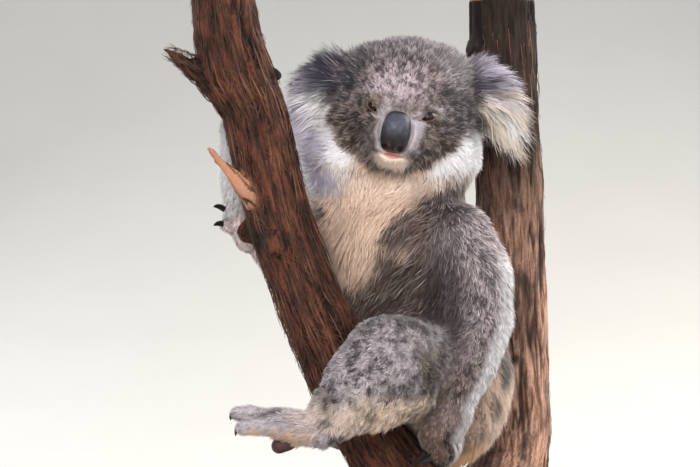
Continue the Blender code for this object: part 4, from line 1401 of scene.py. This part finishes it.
# the two arms of the fork from above to below, the broken stub and the pale splinter: place and radius
SLANTING = ((-176, -64, 664, 30), (-167, -64, 600, 32), (-158, -64, 565, 34), (-143, -63, 534, 31),
            (-117, -62, 425, 31), (-87, -60, 340, 32), (-56, -57, 267, 32), (-24, -49, 206, 33),
            (6, -27, 165, 35), (34, 4, 128, 39), (49, 21, 95, 42), (52, 25, 40, 46))
UPRIGHT = ((108, 108, 666, 33), (110, 107, 600, 35), (117, 105, 450, 35), (122, 103, 300, 34),
           (124, 98, 205, 35), (118, 89, 172, 37), (98, 68, 142, 39), (70, 42, 112, 42), (52, 25, 40, 46))
BROKEN = ((-168, -64, 548, 20), (-188, -70, 563, 13.5), (-204, -76, 575, 10), (-218, -79, 584, 7),
          (-229, -81, 589, 4.5))
SPLINTER = ((-136, -74, 440, 13), (-155, -84, 458, 10), (-171, -90, 477, 7), (-184, -92, 492, 5))
# the heights of the limb's sawn ends
SAW_CUTS = (62, 652)
KNOB = ((-124, -64, 565), (8.5, 6, 7))
FIBRE_ROWS = 6
# limb, number, bounds of length and of width, lift, straying; the last kind gathers beside the knee
FIBRES = {"bark_strips": ((SLANTING, 560, (22, 80), (0.9, 2.4), 4.5, 0.06),
                          (UPRIGHT, 160, (20, 60), (0.9, 2.2), 2.0, 0.05)),
          "bark_fuzz": ((SLANTING, 3000, (8, 32), (0.35, 0.9), 5.0, 0.55),
                        (UPRIGHT, 500, (6, 22), (0.35, 0.8), 2.5, 0.4),
                        (BROKEN, 260, (6, 22), (0.35, 0.9), 4.0, 0.35),
                        (SLANTING, 260, (14, 34), (0.4, 1.1), 13.0, 0.5, (352, 12), (0.7, 0.5)))}
# centre, radii, strength
DARK_KNOTS = (((-136, -84, 412), (13, 26, 20), 0.9), ((-158, -84, 484), (8, 20, 11), 0.75),
              ((-120, -92, 560), (11, 22, 12), 0.8), ((-206, -84, 577), (12, 12, 8), 0.7),
              ((-40, -84, 300), (16, 20, 22), 0.7), ((92, 72, 600), (12, 20, 16), 0.6),
              ((140, 78, 520), (8, 20, 40), 0.5), ((128, 70, 330), (9, 20, 50), 0.5))


def rounded(chain):
    """The same chain in short steps, with its corners rounded, so that the grain turns with the limb."""
    chain = np.array(chain, float)
    fine = on_chain(chain, np.arange(0, lengths_along(chain)[-1], 9.0))
    for _ in range(10):
        fine[1:-1] = (fine[:-2] + 2 * fine[1:-1] + fine[2:]) / 4
    return fine


def limb_places(points):
    """Each vertex's place on its own limb, two across the grain and one along it, and whether it belongs to
    the upright or to the splinter."""
    found = [along_chain(points, chain) for chain in (rounded(SLANTING), rounded(UPRIGHT), BROKEN, SPLINTER)]
    nearest = np.argmin([f[0] * (1.0 if i < 2 else 0.97) for i, f in enumerate(found)], axis=0)

    def pick(column):
        chosen = nearest if np.ndim(found[0][column]) == 1 else nearest[:, None]
        return np.choose(chosen, [f[column] for f in found])

    length, direction, centre = pick(1), pick(2), pick(3)
    side = unit(np.cross(direction, (0.0, 1.0, 0.0)))
    offset = points - centre
    across, deep = (offset * side).sum(axis=1), (offset * np.cross(side, direction)).sum(axis=1)
    place = np.stack([across, deep, length + nearest * 900.0], axis=1)
    return place, (nearest == 1).astype(float), (nearest == 3).astype(float)


def bark():
    piece = joined_copy("bark_limb", ["perch"])
    apply(piece, "REMESH", mode="VOXEL", voxel_size=BARK_GRAIN * MM, adaptivity=0)
    apply(piece, "SMOOTH", factor=0.5, iterations=6)
    points, normals, edges = points_of(piece), normals_of(piece), edges_of(piece)
    place, upright, splinter = limb_places(points)
    upright, splinter = spread(edges, upright, 12), spread(edges, splinter, 4)
    low, high = SAW_CUTS
    cut = np.maximum(step(points[:, 2], high - 1.6, high - 0.6), step(-points[:, 2], -low - 1.6, -low - 0.6))
    cut = cut * step(np.abs(normals[:, 2]), 0.6, 0.85)
    warped = place + wandering(place, (16, 16, 60), (4, 5, 6)) * (7, 7, 30)
    strands = noise(warped, (6.5, 6.5, 95), 11, 3)
    ridges = 1 - np.abs(2 * noise(warped, (8, 8, 120), 12, 2) - 1)
    cracks = step(ridges, 0.86, 0.97) * step(noise(place, (30, 30, 70), 13, 1), 0.35, 0.6)
    plates = noise(warped, (12, 12, 55), 14, 2)
    lumps = noise(points, 42, 15, 2) - 0.5
    along = place * (0, 0, 1)
    line = place[:, 0] - 6 - 5 * np.sin(place[:, 2] / 60) - 6 * (noise(along, 26, 16, 2) - 0.5)
    split = np.exp(-(line / 2.5) ** 2) * (place[:, 1] > 0)
    split *= step(place[:, 2], 20, 60) * step(-place[:, 2], -420, -360)
    split *= (1 - upright) * step(noise(along, 34, 18, 1), 0.08, 0.22)
    rough = noise(points, 3.4, 19, 2) - 0.5
    slanting_height = 3.2 * (strands - 0.5) + 2.6 * (plates - 0.5) - 3.0 * cracks - 3.6 * split + 1.3 * rough
    upright_height = 1.9 * (strands - 0.5) + 2.2 * (plates - 0.5) - 2.6 * cracks * 0.8 + 0.7 * rough
    height = slanting_height * (1 - upright) + upright_height * upright + 6.0 * lumps
    knot = np.zeros(len(points))
    strayed = points + (noise(points, 9, 21, 2)[:, None] - 0.5) * 8
    for centre, radii, strength in DARK_KNOTS:
        knot = np.maximum(knot, patch(strayed, centre, radii, 0.5) * strength)
    height = (height - 1.0 * knot) * (1 - cut)
    move_points(piece, points + normals * height[:, None])
    # painted shade in the cracks, the split and the low places between the strands
    pit = np.clip(cracks * 0.85 + split + step(0.42 - strands, 0.02, 0.2) * 0.5, 0, 1)
    # height drives the painted shade that darkens the upright towards its top
    set_numbers(piece, grain=place, upright=upright, height=step(points[:, 2], 220, 640), splinter=splinter,
                pit=pit * (1 - cut), cut=cut, stain=knot)
    return dress(piece, "bark", "bark", "perch")


def knob():
    """The dark end of a twig that stands out of the slanting limb, beside the ear."""
    piece, ball = sphere("bark_knob", 32, 20)
    ball = ball * (1 + 0.35 * (noise(ball, 0.6, 23, 2) - 0.5))[:, None] * KNOB[1] + KNOB[0]
    move_points(piece, ball)
    set_numbers(piece, grain=ball, pit=np.ones(len(ball)))
    return dress(piece, "bark", "bark")


def fibres_on(chain, count, long, wide, lift, heading, at=None, round_to=None):
    """Corners of loose fibres on a limb, in rows of three. It takes how many there are, the bounds of their
    length and width, how far they stand up, how much they stray, and where they gather on the limb."""
    chain = np.array(chain, float)
    whole = lengths_along(chain)[-1]
    start = rng.uniform(4, whole - 12, count) if at is None else rng.normal(*at, count)
    size, width = rng.uniform(*long, count), rng.uniform(*wide, count)
    angle = rng.uniform(0, 2 * math.pi, count) if round_to is None else rng.normal(*round_to, count)
    turn, curl = rng.normal(0, heading, count), rng.normal(0, heading * 0.8, count)
    stand = rng.uniform(0.1, 1.0, count) ** 3 * lift
    found = []
    for t in np.linspace(0, 1, FIBRE_ROWS):
        swing = turn + curl * t
        reach = np.clip(start + size * t * np.cos(swing), 0, whole)
        here, ahead, behind = (on_chain(chain, reach + shift) for shift in (0, 4, -4))
        centre, radius = here[:, :3], here[:, 3]
        direction = unit((ahead - behind)[:, :3])
        side = unit(np.cross(direction, (0.0, 1.0, 0.0)))
        front = np.cross(side, direction)
        a = (angle + size * t * np.sin(swing) / np.maximum(radius, 6))[:, None]
        radial = side * np.cos(a) + front * np.sin(a)
        tangent = np.cross(direction, radial)
        raised = radius - 1.0 + 1.8 * math.sin(math.pi * t) + stand * t ** 2
        middle = centre + radial * raised[:, None]
        half = (width * (0.25 + 0.75 * math.sin(math.pi * min(max(t, 0.08), 0.92))) / 2)[:, None]
        corners = [middle - tangent * half, middle + tangent * half, middle - radial * half * 1.2]
        found.append(np.stack(corners, axis=1))
    return np.stack(found, axis=1).reshape(-1, 3)


def bark_fibres():
    """Loose strips of bark along the limbs, finer fibres that curl over them, and a frayed place."""
    corners = FIBRE_ROWS * 3
    ends = [(0, 2, 1), (corners - 3, corners - 2, corners - 1)]
    pattern = np.array(tube_faces(FIBRE_ROWS, 3) + ends)
    for name, kinds in FIBRES.items():
        fibres = np.concatenate([fibres_on(*kind) for kind in kinds]).reshape(-1, corners, 3)
        heights = fibres[..., 2]
        fibres = fibres[(heights.min(axis=1) > SAW_CUTS[0] + 2) & (heights.max(axis=1) < SAW_CUTS[1] - 2)]
        triangles = (np.arange(len(fibres))[:, None, None] * corners + pattern).reshape(-1, 3)
        piece = mesh_piece(name, fibres.reshape(-1, 3), triangles)
        edit_all(piece, (bpy.ops.mesh.normals_make_consistent, {"inside": False}))
        dress(piece, "fibre", "bark")


def stand():
    """The stand's own solids get their materials, and each rod gets a collar where it leaves the base."""
    for name in sorted(NODES):
        if name.startswith("stand_"):
            slots = NODES[name].material_slots
            material = MATERIALS["stand_steel" if "rod" in name else "stand_wood"]
            if slots:
                slots[0].material = material
            else:
                NODES[name].data.materials.append(material)
    for index, box in enumerate(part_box(name) for name in sorted(NODES) if name.startswith("stand_rod")):
        low, high = np.array(box[0]), np.array(box[1])
        middle, base_top = (low + high) / 2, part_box("stand_base")[1][2]
        deselect()
        place = (middle[0], middle[1], base_top + COLLAR_HEIGHT / 2 * MM)
        bpy.ops.mesh.primitive_cylinder_add(vertices=48, radius=COLLAR_RADIUS * MM, depth=COLLAR_HEIGHT * MM,
                                            location=place)
        collar = bpy.context.object
        collar.name = f"stand_collar_{index + 1}"
        bpy.ops.object.transform_apply(location=True, rotation=True, scale=True)
        apply(collar, "BEVEL", width=1.2 * MM, segments=3, limit_method="ANGLE")
        dress(collar, "stand_steel", "stand_steel")
        bpy.ops.object.shade_smooth_by_angle(angle=math.radians(35))


def floor():
    """A pale sheet that runs under the stand and sweeps up behind it."""
    deselect()
    bpy.ops.mesh.primitive_plane_add(size=FLOOR_SIDE, location=(0, FLOOR_MIDDLE, 0))
    ground = bpy.context.object
    ground.name = "studio_floor"
    bpy.ops.object.transform_apply(location=True, rotation=True, scale=True)
    bpy.ops.object.mode_set(mode="EDIT")
    bpy.ops.mesh.select_mode(type="EDGE")
    bpy.ops.mesh.select_all(action="DESELECT")
    bpy.ops.object.mode_set(mode="OBJECT")
    for edge in ground.data.edges:
        edge.select = all(ground.data.vertices[v].co.y > 0.9 for v in edge.vertices)
    bpy.ops.object.mode_set(mode="EDIT")
    length = 2 * SWEEP_RADIUS * math.sin(math.radians(45 / SWEEP_STEPS))
    for i in range(SWEEP_STEPS):
        a = math.radians(90 * (i + 0.5) / SWEEP_STEPS)
        way = (0, length * math.cos(a), length * math.sin(a))
        bpy.ops.mesh.extrude_region_move(TRANSFORM_OT_translate={"value": way})
    bpy.ops.mesh.extrude_region_move(TRANSFORM_OT_translate={"value": (0, 0, WALL_HEIGHT)})
    bpy.ops.object.mode_set(mode="OBJECT")
    bpy.ops.object.shade_smooth()
    ground.data.materials.append(MATERIALS["floor"])


# ---------------------------------------------------------------- putting it together

floor()
skin = build_skin()
skin_points, skin_normals, skin_edges = points_of(skin), normals_of(skin), edges_of(skin)
skin_regions = regions_of(skin_points, skin_edges)
lie = lie_of_coat(skin_points, skin_normals, skin_regions, skin_edges)
_, bare = bare_skin(skin_points, np.zeros_like(skin_points))
tufts = tuft_sizes(skin_points, skin_regions, bare)
hair_colour, speckle = markings(skin_points + lie * (tufts[1] * 0.55)[:, None], skin_normals, skin_regions)
# the skin under the coat is the hair's colour darkened with painted shade, as at the roots
skin_colour, _ = bare_skin(skin_points, hair_colour * (0.85 - 0.3 * speckle)[:, None])
set_colours(skin.data, "marking", skin_colour)
set_numbers(skin, bare=bare)
dress(skin, "skin", "fur", *FLESH)
for side in EYES:
    eye(side)
nose()
claws()
bark()
bark_fibres()
knob()
stand()
grow_coat(skin, hair_colour, speckle, skin_regions, tufts, lie)
